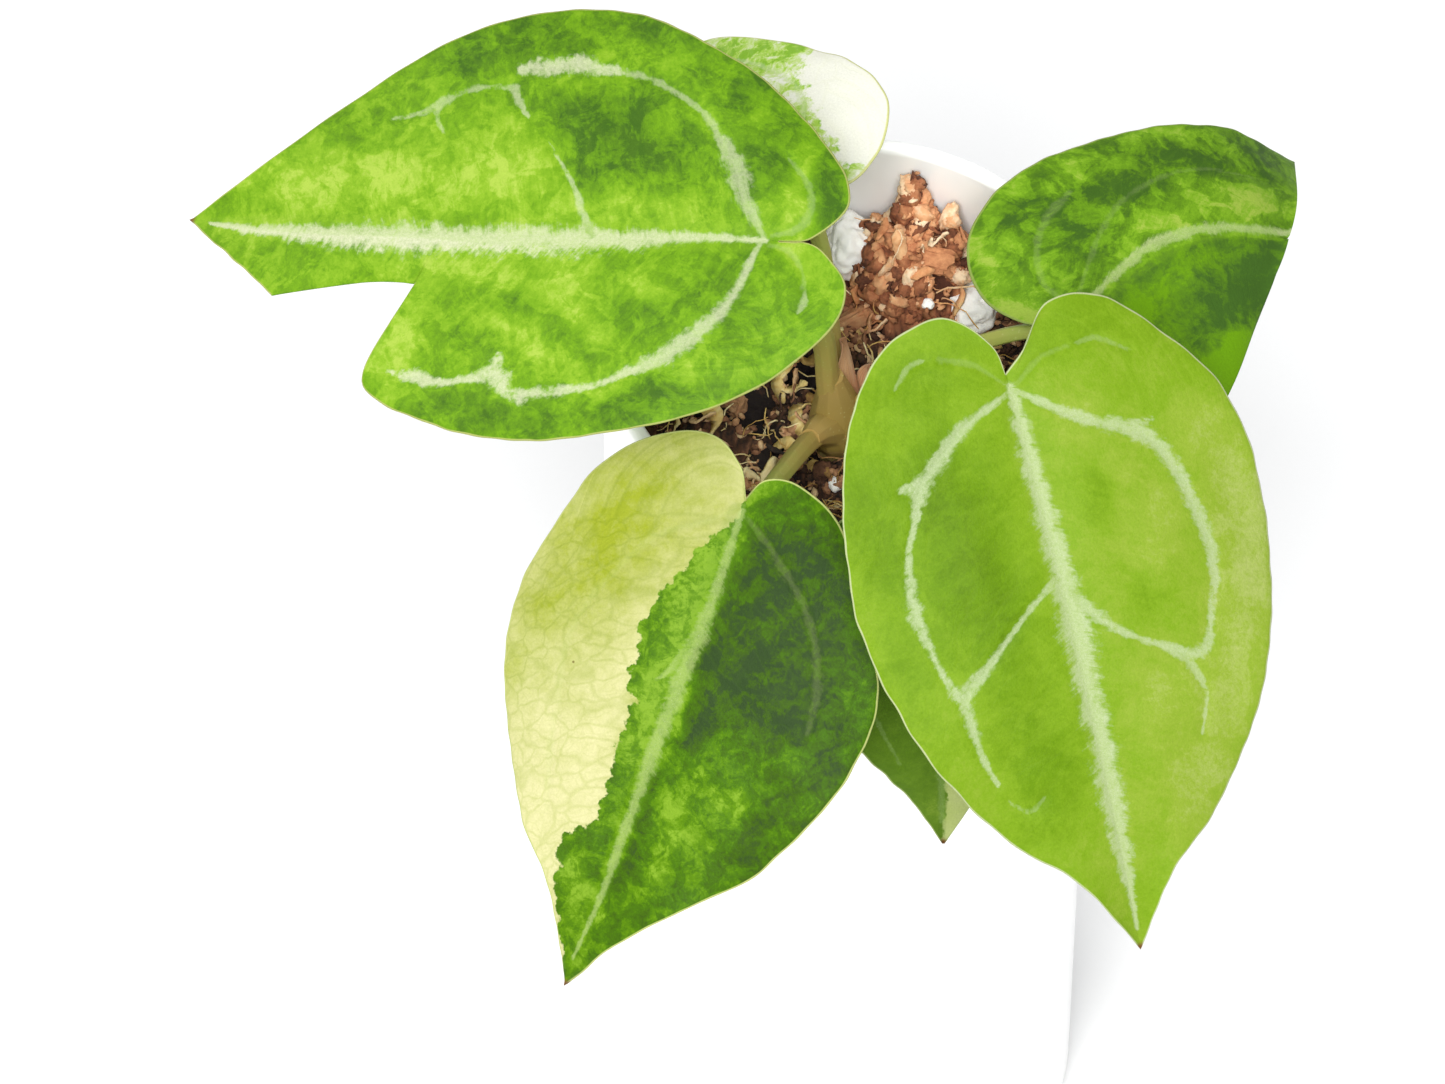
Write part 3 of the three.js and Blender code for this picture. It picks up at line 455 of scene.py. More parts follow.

# %% [markdown]
# ## Patches of the marbling
# Pigment is missing from some cell layers and not from others, so one leaf has dark, mid and lime patches. A
# patch is a soft oval: its place, how far it reaches along and across, how it is turned in degrees, and how
# much it lightens (above 0) or darkens (below 0) the green. Noise then frays it. Ovals given one by one put
# the big shapes where this plant has them, and stay a short list that a reader can change. Four leaves also
# have a sector of another tone, cream on two of them, whose edge is a line of points that closes outside the
# leaf.

# %% Patches and sectors
PATCHES = {
    "leaf_left": [
        (33, -21, 8, 6, 20, -1.5), (24, -14, 7, 4, 35, -0.8), (15, -13, 6, 3.5, 30, -0.5),
        (36, -11, 3, 6, 0, -0.6), (52, -38, 7, 5, -10, -0.85), (66, -33, 5, 4, -25, -0.7),
        (18, -38, 5, 5, 20, -0.75), (6, -31, 8, 3, 45, -0.8), (2, -16, 3, 7, -10, -0.9),
        (-11, -12, 3, 8, 10, -1.0), (-3, -24, 5, 3, 40, -0.5), (30, -43, 12, 2.5, 5, -0.6),
        (48, -22, 8, 3, -35, -0.35), (75, -8, 12, 6, -8, 0.75), (88, -7, 9, 4, -8, 0.4),
        (50, -12, 9, 5, -25, 0.85), (30, -5, 12, 2.5, 5, 0.45), (60, -7, 9, 3, 0, 0.4),
        (-5, -9, 2.5, 9, 5, 0.7), (98, -6, 9, 4, -10, 0.7), (14, -25, 4, 4, 25, 0.2),
        (88, -17, 10, 3, -25, -0.3), (40, -27, 4, 2.5, -35, 0.35), (58, 12, 10, 3, -10, 0.6),
        (36, 14, 11, 3, -45, 0.85), (24, 12, 9, 2, 5, 0.4), (45, 24, 9, 3, -30, 0.6), (70, 28, 4, 7, 0, 0.9),
        (66, 14, 5, 3, 0, 0.5), (52, 17, 8, 2.5, -10, -0.55), (30, 18, 7, 2.5, -40, -0.55),
        (18, 16, 7, 4, 40, -0.25), (4, 14, 9, 7, 0, -0.3), (58, 24, 7, 2.5, -15, -0.35),
        (40, 39, 18, 3, 5, -0.55), (18, 35, 8, 4, 40, -0.5), (64, 37, 6, 4, 0, -0.35),
        (28, 33, 6, 2.5, 30, 0.4), (90, 8, 9, 5, 0, -0.15), (104, 4, 8, 4, 0, 0.45), (10, 26, 4, 3, 0, 0.35)],
    "leaf_back": [
        (36, -16, 6, 4, 0, -0.7), (20, -20, 4, 3, 0, -0.3), (28, -24, 4, 3, 0, -0.4),
        (28, -12, 7, 4, 20, 0.7), (10, 14, 9, 7, 0, -0.5), (36, 12, 12, 5, 0, 0.6), (56, 0, 10, 5, 0, -0.6)],
    "leaf_right": [
        (17, 26, 8, 4, 10, -0.95), (33, 28, 9, 4, 0, -0.75), (0, 26, 4, 4, 0, -0.7), (6, 17, 6, 4, 30, -0.6),
        (55, 26, 5, 5, 0, -0.8), (44, 17, 8, 4, 10, 0.6), (0, 33, 4, 2, 20, 0.6), (-10, 16, 1.8, 7, 0, 0.95),
        (-6, 5, 4, 4, 0, 0.8), (33, 35, 7, 2, 0, 0.45), (29, 19, 6, 3, 15, 0.5), (10, 30, 4, 2, 20, 0.45),
        (22, 15, 7, 2.5, 20, -0.3), (30, -3, 12, 8, -25, -0.15), (20, 3, 8, 4, 20, 0.3),
        (8, -5, 4, 4, 0, 0.75), (24, -17, 6, 3, 40, 1.6), (41, 4, 6, 3, 30, -0.4), (16, 13, 8, 2, 35, 0.45),
        (29, 15, 8, 2, 10, 0.4), (42, 14.5, 8, 2.5, -5, 0.2), (31, -4, 9, 6, 10, -0.3)],
    # On this young leaf the darker ovals copy the shade in the valleys between its veins: painted shade.
    "leaf_front_right": [
        (26, -17, 18, 8, 5, -1.0), (44, -14, 7, 4, 0, -0.5), (28, 17, 16, 9, 0, 0.45),
        (24, 11, 5, 3, 0, -0.55), (44, 16, 5, 3, 20, -0.3), (-8, 18, 4, 8, 0, -0.15), (8, 10, 6, 4, 40, 0.4),
        (50, 36, 20, 8, -10, 0.8), (26, 38, 13, 5, 15, 0.7), (80, 20, 16, 10, -20, 0.5),
        (64, 14, 8, 5, 0, 0.4), (72, -12, 14, 6, 0, -0.4), (20, -34, 16, 4, 5, -0.5),
        (46, -34, 10, 3, -10, -0.3), (94, -2, 9, 5, 0, 0.3), (-7, -16, 5, 8, 0, -0.2)],
    "leaf_front_left": [
        (28, 1.5, 26, 1.9, 2, 0.65), (66, 2, 26, 1.5, 0, 0.6), (15, 9, 11, 5.5, 0, -0.8),
        (31, 14, 6, 10, 0, -1.5), (42, 7, 5, 4, 0, -0.6), (18, 24, 12, 8, 30, -0.75),
        (38, 33, 8, 5, 0, -0.6), (5, 17, 6, 9, 0, -0.8), (33, -1, 9, 2.5, 0, 0.75), (24, -3, 7, 4, 0, 0.2),
        (40, -1, 8, 2.5, 0, 0.6), (15, -2.5, 6, 3, 0, 0.3), (55, -2, 10, 2, 0, 0.3), (41, 30, 3, 3, 0, 0.7),
        (53, 20, 3, 2.5, 0, 0.8), (62, 14, 4, 3, 0, 0.9), (70, 12, 3.5, 3, 0, 0.8),
        (58, 11, 4, 2.5, 20, 0.6), (51, 14, 3, 2.5, 0, 0.45), (57, 28, 10, 4, 0, -0.5),
        (58, 5, 7, 2, 0, -0.5), (79, -3, 5, 3, 0, 0.7), (76, 1, 3, 2, 0, -0.6), (84, 0, 6, 4, 0, 0.3),
        (72, 5, 5, 2, 0, -0.4), (26, 35, 5, 2.5, 20, 0.35), (0, -16, 20, 16, 0, 0.6),
        (16, -26, 18, 11, 0, 0.3), (41, -33, 22, 6, 0, 0.4), (32, -20, 18, 9, 0, 0.3)],
    "leaf_low": [
        (20, 8, 12, 8, 0, -0.4), (44, -5, 10, 5, 0, 0.2), (56, 0, 5, 3, 0, 0.5), (14, -14, 9, 7, 0, -0.3)],
}

SECTORS = {
    "leaf_front_left": [
        (-2, -0.6), (1, 0), (6, -3), (11, -5), (15, -6), (19, -8), (22, -8), (28, -10), (31, -8), (36, -8),
        (41, -8), (42, -5), (48, -5), (54, -5), (61, -4), (67, -4), (70, -8), (74, -10), (79, -8), (86, -6),
        (92, -3), (101, -2), (105, -20), (60, -60), (-20, -60), (-20, -1.2)],
    "leaf_back": [(27, -32), (25, -27), (22, -23), (20, -20), (13, -17), (6, -14), (0, -12), (-6, -9),
                  (-9.5, -12), (-10, -17), (-11, -21), (-13, -27), (-16, -34), (-10, -50), (20, -50)],
    "leaf_low": [(70, -1), (58, 1), (50, 1), (47, 9), (47, 20), (75, 20)],
    "leaf_right": [(-1, -1), (7, 3), (16, 7.5), (22, 9), (29, 9.5), (36, 8.8), (50, 6.5), (60, 0), (30, -45),
                   (-30, -45), (-30, -3)],
}
print("patches:", sum(len(rows) for rows in PATCHES.values()))

# %% [markdown]
# ## Blades
# A blade is a thin sheet that bows along its midrib, folds a little at it, and waves at its margin. It could
# be a flat face bent by modifiers, but then its outline would drift from the solid's. Here its grid runs
# from the midrib to each margin along the lean of the side veins, and one height function, the solids' own,
# lifts it. The finer grid adds what the solid leaves out: grooves over the veins on the upper face, ribs
# under them, gentle puckers between them, and a thin rounded margin with a slight ripple in its line.

# %% Curves through points
def smooth_line(points, per_gap, tight=False):
    """Close points on the smooth curve through a row of points, which may carry widths as further columns. A
    tight curve keeps its bends small where points are close."""
    p = np.array(points, float)
    before, beyond = (2 * p[0] - p[1], 2 * p[-1] - p[-2]) if tight else (p[0], p[-1])
    p = np.vstack([before, p, beyond])
    t = np.linspace(0, 1, per_gap, endpoint=False)[:, None]
    parts = []
    for a, b, c, d in zip(p[:-3], p[1:-2], p[2:-1], p[3:]):
        k, m, n = [max(np.linalg.norm(v) ** 0.5, 1e-4) if tight else 1 for v in (b - a, c - b, d - c)]
        u = m * ((b - a) / k - (c - a) / (k + m) + (c - b) / m)
        v = m * ((c - b) / m - (d - b) / (m + n) + (d - c) / n)
        parts.append((2 * b - 2 * c + u + v) * t**3 + (-3 * b + 3 * c - 2 * u - v) * t**2 + u * t + b)
    return np.vstack([*parts, p[-2:-1]])


def evenly(line, count):
    """The same line as count even steps."""
    run = np.r_[0, np.cumsum(np.linalg.norm(np.diff(line, axis=0), axis=1))]
    wanted = np.linspace(0, run[-1], count + 1)
    return np.stack([np.interp(wanted, run, column) for column in line.T], 1)


def margin_points(stretches, steps):
    """Points along one margin from the sinus to the tip, with every corner kept, and the stretch of each."""
    lines = [smooth_line(stretch, 40) for stretch in stretches]
    lengths = [np.linalg.norm(np.diff(line, axis=0), axis=1).sum() for line in lines]
    counts = [max(1, round(steps * length / sum(lengths))) for length in lengths]
    counts[0] += steps - sum(counts)
    parts = [evenly(line, count) for line, count in zip(lines, counts)]
    points = np.vstack([parts[0][:1], *[part[1:] for part in parts]])
    return points, np.r_[0, np.repeat(np.arange(len(parts)), counts)]


# %% The blade's grid and its heights
ROWS = 220
COLUMNS = 40
VEIN_LEAN = 0.45
FOLD_WIDTH = 8
DROOP_SHARE = 0.36
PUCKER_WAVES = (31, 23, 17, 12, 9)

steps = np.linspace(0, 1, COLUMNS + 1)
ACROSS = steps - 0.1 * np.sin(2 * np.pi * steps) / np.pi


def blade_grid(leaf):
    """Grid points of both halves in the leaf's plane, with each row's foot on the midrib, from 0 to 1."""
    margins = [margin_points(leaf[side], ROWS)[0] for side in ("left", "right")]
    lean = sum(m[:, 0] - VEIN_LEAN * np.abs(m[:, 1]) for m in margins) / 2 / leaf["end"][0]
    foot = np.clip(np.maximum.accumulate(np.maximum(lean, 0)), 0, 1)
    foot[-1] = 1
    sway = leaf["sway"] * 4 * foot * (1 - foot)
    midrib = np.stack([foot * leaf["end"][0], foot * leaf["end"][1] + sway], 1)
    grid = np.stack([midrib[:, None] + (m - midrib)[:, None] * ACROSS[None, :, None] for m in margins])
    return grid, foot, midrib


def blade_height(leaf, xy, around, across):
    """How far the middle of the blade's thickness stands above its plane."""
    along, side = xy[..., 0] / leaf["length"], np.abs(xy[..., 1])
    wave = leaf["wave"] * across**3 * np.sin(2 * np.pi * leaf["waves"] * around + leaf["phase"])
    droop = leaf["curl"] * (side / (DROOP_SHARE * leaf["length"])) ** 2
    fold = leaf["fold"] * (1 - np.exp(-side / FOLD_WIDTH))
    return leaf["bow"] * 4 * along * (1 - along) + fold - droop + wave


def puckers(xy, seed):
    """Gentle unevenness from a few crossing waves."""
    random = np.random.default_rng(seed)
    total = np.zeros(len(xy))
    for length in PUCKER_WAVES:
        turn, shift = random.uniform(0, 2 * np.pi, 2)
        total += np.sin((xy @ [np.cos(turn), np.sin(turn)]) * 2 * np.pi / length + shift)
    return total / 3


def bell(distance, width):
    """1 at no distance, and softly down to 0 over a few widths."""
    return np.exp(-((distance / width) ** 2))


# %% What a blade's finish reads
FAR = 50.0


def from_line(xy, a, b):
    """How far places lie from the line from a to b, and the share of it at which each is nearest."""
    step = b - a
    t = np.clip((xy - a) @ step / (step @ step), 0, 1)
    return np.linalg.norm(xy - a - t[:, None] * step, axis=1), t


def vein_gaps(xy, veins):
    """Distance to the nearest vein in its own half-widths, that vein's strength, and the plain distance."""
    ratio, strength, gap = np.full(len(xy), FAR), np.zeros(len(xy)), np.full(len(xy), FAR)
    for bright, points in veins:
        line = smooth_line(points, 5)
        for a, b in zip(line[:-1], line[1:]):
            away, t = from_line(xy, a[:2], b[:2])
            own = away / np.maximum(a[2] + (b[2] - a[2]) * t, 0.05)
            nearer = own < ratio
            ratio[nearer], strength[nearer] = own[nearer], bright
            gap = np.minimum(gap, away)
    return np.minimum(ratio, 8), strength, gap


def patch_tone(xy, patches):
    """Soft ovals added up: above 0 is lighter than the leaf's mid green and below 0 is darker."""
    tone = np.zeros(len(xy))
    for x, y, long, wide, turn, amount in patches:
        c, s = math.cos(math.radians(turn)), math.sin(math.radians(turn))
        u, v = (xy[:, 0] - x) * c + (xy[:, 1] - y) * s, (xy[:, 1] - y) * c - (xy[:, 0] - x) * s
        tone += amount * np.exp(-0.7 * ((u / long) ** 2 + (v / wide) ** 2))
    return tone


def crumpled(xy, seed, reach=2.2, size=9.0):
    """Places shifted by smooth noise, so that ovals laid on them get lobed edges as real patches have."""
    shift = [[noise.fractal(Vector((x / size + seed, y / size, 7.0 * axis)), 0.8, 2.1, 4) for x, y in xy]
             for axis in (0, 1)]
    return xy + reach * np.array(shift).T


def sector_depth(xy, outline):
    """Distance to a sector's edge in millimetres: above 0 inside it and below 0 outside."""
    p = np.array(outline, float)
    depth, inside = np.full(len(xy), FAR), np.zeros(len(xy), bool)
    for a, b in zip(p, np.roll(p, -1, axis=0)):
        depth = np.minimum(depth, from_line(xy, a, b)[0])
        crosses = (a[1] > xy[:, 1]) != (b[1] > xy[:, 1])
        along_x, along_y = b - a
        with np.errstate(divide="ignore", invalid="ignore"):
            inside ^= crosses & (xy[:, 0] < a[0] + (xy[:, 1] - a[1]) * along_x / along_y)
    return np.where(inside, depth, -depth)


def margin_gap(leaf, xy):
    """Distance to the natural margin. A cut edge has no pale line, so it is left out."""
    kept = []
    for side in ("left", "right"):
        points, stretch = margin_points(leaf[side], 900)
        cut = [number for where, number in leaf.get("cut", []) if where == side]
        kept.extend(points[~np.isin(stretch, cut)])
    tree = KDTree(len(kept))
    for i, (x, y) in enumerate(kept):
        tree.insert((x, y, 0), i)
    tree.balance()
    return np.array([tree.find((x, y, 0))[2] for x, y in xy])


# %% Build one blade
BLADE_THICK = 0.8
EDGE_THICK = 0.4
EDGE_TAPER = 1.2
RIB_DEPTH = 1.5
RIB_WIDTH = 1.3
RIB_TAPER = 0.75
SIDE_RIB_DEPTH = 0.6
SIDE_RIB_WIDTH = 0.8
GROOVE_DEPTH = 0.35
GROOVE_WIDTH = 0.9
PUCKER = 0.22
CALM_BY_EDGE = 3
CALM_BY_VEIN = 4
MARGIN_RIPPLE = 0.2
RIPPLE_WIDTH = 1.5
RIM_ROUNDING = 0.15
RIM_CENTRE = 0.35
RIM_UNDER_SHARE = 0.3


def place_of(leaf):
    """The turn and place of a leaf's plane on the plant."""
    turns = [Matrix.Rotation(math.radians(leaf[key]), 4, axis)
             for key, axis in (("heading", "Z"), ("slope", "Y"), ("roll", "X"))]
    return Matrix.Translation(leaf["hub"]) @ turns[0] @ turns[1] @ turns[2]


def moved(points, matrix):
    """Points turned and moved by a matrix."""
    m = np.array(matrix)
    return points @ m[:3, :3].T + m[:3, 3]


def make_blade(name, seed):
    """One blade: upper and under faces closed by a rounded margin, with all that its finish reads."""
    leaf = LEAVES[name]
    length = leaf["length"]
    grid, foot, midrib = blade_grid(leaf)
    around = np.broadcast_to(np.linspace(0, 1, ROWS + 1)[None, :, None], grid.shape[:3])
    across = np.broadcast_to(ACROSS[None, None, :], grid.shape[:3])
    side = np.broadcast_to(np.array([1, -1])[:, None, None], grid.shape[:3])
    reach = np.linalg.norm(grid - midrib[None, :, None], axis=3)
    rows = np.broadcast_to(foot[None, :, None], grid.shape[:3])

    # Points on the midrib, in the sinus and at the tip belong to both halves, so they become one point
    on_line = (across == 0) | (around == 0) | (around == 1)
    keys = np.concatenate([grid.round(3), np.where(on_line, 0, side)[..., None]], 3).reshape(-1, 3)
    _, first, number = np.unique(keys, axis=0, return_index=True, return_inverse=True)
    number = number.reshape(grid.shape[:3])
    xy, around, across, side, reach, rows = [
        values.reshape(-1, *values.shape[3:])[first] for values in (grid, around, across, side, reach, rows)]
    count = len(xy)

    # The middle of the sheet, with puckers that calm down towards its edge and its veins
    ratio, strength, gap = vein_gaps(xy, VEINS[name])
    to_edge = (1 - across) * reach
    from_midrib = np.abs(across * reach)
    calm = 1 - bell(to_edge, CALM_BY_EDGE)
    middle = blade_height(leaf, xy, around, across)
    middle = middle + PUCKER * puckers(xy, seed) * calm * (1 - bell(gap, CALM_BY_VEIN))

    # Its two faces: grooves over the veins, ribs under them, and a slight ripple along the margin
    thick = EDGE_THICK + (BLADE_THICK - EDGE_THICK) * (1 - np.exp(-to_edge / EDGE_TAPER))
    groove = GROOVE_DEPTH * bell(gap, GROOVE_WIDTH) * calm
    rib = RIB_DEPTH * (1 - RIB_TAPER * rows) * bell(from_midrib, RIB_WIDTH)
    rib = rib + SIDE_RIB_DEPTH * bell(gap, SIDE_RIB_WIDTH) * calm
    to_margin = margin_gap(leaf, xy)
    apart = (xy - rows[:, None] * np.array(leaf["end"])) / np.maximum(reach, 4)[:, None]
    ripple = MARGIN_RIPPLE * puckers(xy * 1.5, seed + 40) * bell(to_margin, RIPPLE_WIDTH)
    flat, xy = xy, xy + apart * ripple[:, None]
    top = np.column_stack([xy, middle + thick / 2 - groove])
    under = np.column_stack([xy, middle - thick / 2 - rib])

    # The margin gets one more row of points, a little outside, so that it is round
    rim_numbers = np.unique(number[:, :, -1])
    rim_of = {int(n): 2 * count + i for i, n in enumerate(rim_numbers)}
    outward = xy[rim_numbers] - np.array([length * RIM_CENTRE, 0])
    outward *= RIM_ROUNDING / np.linalg.norm(outward, axis=1)[:, None]
    rim = np.column_stack([xy[rim_numbers] + outward, middle[rim_numbers]])

    faces = []
    for n, turn in zip(number, (1, -1)):
        a, b, c, d = [corner.ravel() for corner in (n[:-1, :-1], n[1:, :-1], n[1:, 1:], n[:-1, 1:])]
        upper = np.vstack([np.column_stack([a, b, c]), np.column_stack([a, c, d])])
        edge = []
        for p, q in zip(n[:-1, -1].tolist(), n[1:, -1].tolist()):
            rp, rq = rim_of[p], rim_of[q]
            edge += [(p, q, rq), (p, rq, rp), (rp, rq, q + count), (rp, q + count, p + count)]
        faces.append(np.vstack([upper, upper[:, ::-1] + count, edge])[:, ::turn])
    faces = np.vstack(faces)
    real = (faces[:, 0] != faces[:, 1]) & (faces[:, 1] != faces[:, 2]) & (faces[:, 0] != faces[:, 2])

    mesh = build_mesh(f"blade_{name[5:]}", moved(np.vstack([top, under, rim]), place_of(leaf)), faces[real])
    nothing = np.zeros(count)
    kept = {
        "plane": np.column_stack([flat, nothing]),
        "flow": np.column_stack([rows * length, side * across * reach, nothing]),
        "vein_ratio": ratio,
        "vein_strength": strength,
        "midrib_gap": from_midrib,
        "margin_gap": to_margin,
        "tip_gap": np.linalg.norm(flat - [length, 0], axis=1),
        "tone": patch_tone(crumpled(flat, seed), PATCHES[name]),
        "sector": sector_depth(flat, SECTORS[name]) if name in SECTORS else nothing - FAR,
    }
    for key, values in kept.items():
        store(mesh, key, np.concatenate([values, values, values[rim_numbers]]))
    store(mesh, "under", np.repeat([0, 1, RIM_UNDER_SHARE], [count, count, len(rim)]))
    return mesh


# %% [markdown]
# ## Finishes that several leaves share
# Marbling, silver veins, the pale margin, the velvety grain, the net of small veins and the frayed edge of a
# sector are on more than one leaf. Each is a node group, built once: it takes places and distances that the
# blade carries and gives back masks and values. The colours stay in each leaf's own material.

# %% A group with named inputs and outputs
def new_group(name, family, inputs, *outputs):
    """A node group. Each input has a starting value, or its kind in words where it only gets linked."""
    tree = bpy.data.node_groups.new(name, f"{family}NodeTree")
    for key, value in inputs.items():
        kind = value if isinstance(value, str) else type(value).__name__.title()
        made = tree.interface.new_socket(key, in_out="INPUT", socket_type=f"NodeSocket{kind}")
        if kind != value:
            made.default_value = value
    for key in outputs:
        kind = "Geometry" if key == "Geometry" else "Float"
        tree.interface.new_socket(key, in_out="OUTPUT", socket_type=f"NodeSocket{kind}")
    return tree, tree.nodes.new("NodeGroupInput").outputs, tree.nodes.new("NodeGroupOutput").inputs


def use(group, **inputs):
    """Places a group in a material, with its inputs by name, and gives back its outputs."""
    return node(tree_of(inputs.values()), "ShaderNodeGroup", inputs, node_tree=group).outputs


# %% Marbling
marbling, given, result = new_group("marbling", "Shader", {
    "Plane": "Vector", "Flow": "Vector", "Tone": 0.0, "Blotch": 9.0, "Clouds": 0.5, "Streaks": 0.5,
    "Speckle": 0.2}, "Shade")
plane, flow = given["Plane"], given["Flow"]
per_blotch = calc("DIVIDE", 1.0, given["Blotch"])
clouds = noise_at(plane, per_blotch, detail=7, roughness=0.62, distortion=0.8)
for share, amount in ((1.5, 0.16), (3.2, 0.07)):
    patch = noise_at(plane, times(per_blotch, share), detail=6, roughness=0.66, distortion=0.7)
    clouds = plus(clouds, between(patch, -0.05, 0.06, -amount, amount))
clouds = times(clouds, given["Clouds"])
drawn_out = noise_at(stretched(flow, 1.0, 0.45, 1.0), 0.42, detail=6, roughness=0.68, distortion=0.9)
streaks = times(drawn_out, given["Streaks"])
fine = times(noise_at(plane, 0.95, detail=5, roughness=0.8, distortion=0.4), given["Speckle"])
laid_by_hand = times(calc("TANH", times(given["Tone"], 1.15)), 0.42)
shade = plus(plus(plus(clouds, streaks), fine), laid_by_hand)
fill(result["Shade"], plus(shade, 0.5, clamp=True))

# %% Silver veins, with their painted glints
silver_vein, given, result = new_group("silver vein", "Shader", {
    "Plane": "Vector", "Flow": "Vector", "Ratio": 9.0, "Strength": 1.0}, "Silver", "Painted Glint")
plane, flow = given["Plane"], given["Flow"]
wander = times(noise_at(plane, 0.3, detail=3, roughness=0.6), 2.8)
fray = times(noise_at(stretched(flow, 1.3, 0.4, 1.0), 0.8, detail=4, roughness=0.7), 2.0)
fray = plus(fray, times(noise_at(plane, 1.1, detail=5, roughness=0.75), 1.5))
band = between(plus(given["Ratio"], plus(wander, fray)), 2.1, 0.0)
specks = times(noise_at(plane, 2.8, detail=3, roughness=0.8), 0.5)
band = between(plus(band, specks), 0.1, 0.95)
flecks = between(noise_at(plane, 1.5, detail=3, roughness=0.8), -0.18, 0.16, 0.7, 1.0)
silver = times(times(band, given["Strength"]), flecks)
fill(result["Silver"], silver)
# The second output marks tiny near-white glints on the silver bands: painted highlights.
fill(result["Painted Glint"], times(silver, between(noise_at(plane, 5.5, detail=1, roughness=0.5), 0.14, 0.24)))

# %% Pale margin, velvet and frayed sectors
# The pale margin line is partly the leaf's own pale rim and partly a painted highlight along the edge.
pale_margin, given, result = new_group("pale margin", "Shader", {
    "Plane": "Vector", "Gap": 9.0, "Width": 0.5}, "Mask")
wobble = times(noise_at(given["Plane"], 0.35, detail=2), 0.5)
fill(result["Mask"], between(plus(calc("DIVIDE", given["Gap"], given["Width"]), wobble), 1.3, 0.5))

velvet, given, result = new_group("velvet", "Shader", {"Plane": "Vector", "Size": 0.35}, "Height", "Tint")
mottle = noise_at(given["Plane"], 2.2, detail=4, roughness=0.75)
domes = calc("SUBTRACT", 1.0, dots_at(given["Plane"], calc("DIVIDE", 1.0, given["Size"])))
fill(result["Height"], plus(domes, mottle))
fill(result["Tint"], plus(times(mottle, 0.42), 1.0))

frayed_sector, given, result = new_group("frayed sector", "Shader", {
    "Plane": "Vector", "Depth": -9.0, "Tooth": 1.0, "Soft": 0.25}, "Mask")
jag = calc("SUBTRACT", dots_at(given["Plane"], 0.42), 0.42)
rough = plus(jag, noise_at(given["Plane"], 1.1, detail=4, roughness=0.6))
depth = plus(given["Depth"], times(times(rough, 2.0), given["Tooth"]))
fill(result["Mask"], between(depth, times(given["Soft"], -1.0), given["Soft"]))

# %% Net of small veins
vein_net, given, result = new_group("vein net", "Shader", {"Flow": "Vector", "Mesh": 5.5}, "Mask")
warp = node(vein_net, "ShaderNodeTexNoise", {"Vector": given["Flow"], "Scale": 0.18, "Detail": 2.0})
warp = on_vectors("MULTIPLY", warp.outputs["Color"], (4.0, 4.0, 0.0))
warped = on_vectors("ADD", stretched(given["Flow"], 1.0, 0.6, 1.0), warp)
masks = []
for share, width, weight in ((1.0, 0.13, 1.0), (0.45, 0.14, 0.4)):
    inputs = {"Vector": warped, "Scale": calc("DIVIDE", 1.0, times(given["Mesh"], share))}
    to_border = output_of(vein_net, "ShaderNodeTexVoronoi", inputs, feature="DISTANCE_TO_EDGE")
    masks.append(times(between(to_border, width, 0.0), weight))
fill(result["Mask"], calc("MAXIMUM", *masks))
print("finish groups:", [g.name for g in bpy.data.node_groups])


# %% [markdown]
# ## The six leaf finishes
# The upper face is velvety, so its gloss is wide and weak and its cells show as a fine grain. Pale layers go
# on in the order in which they lie in a real leaf: marbling, sector, silver, margin. Near-white glints on the
# silver are painted highlights, and the pale margin is partly a painted highlight too. A sector has a few
# brown specks, because pale tissue scorches easily, and each tip is a little dry. The under face is paler
# and plainer. One function lays those layers, and each leaf gives it its own colours.

# %% One leaf finish
TONE_PLACES = (0.06, 0.28, 0.5, 0.72, 0.94)
LIGHT_ON_LEAVES = 1.98
SPECK_BROWN = "7a6a2c"
# Colour of the painted highlights that glint on the silver veins.
PAINTED_GLINT = "f6faea"
DRY_TIP = "8c6234"
WEB_SHARE = 0.06
SPECK_SHARE = 0.75
CREASE_SHARE = 0.22
UNDER_SHARE = 0.62
SILVER_GLOSS = -0.1
UNDER_DULLNESS = 0.12


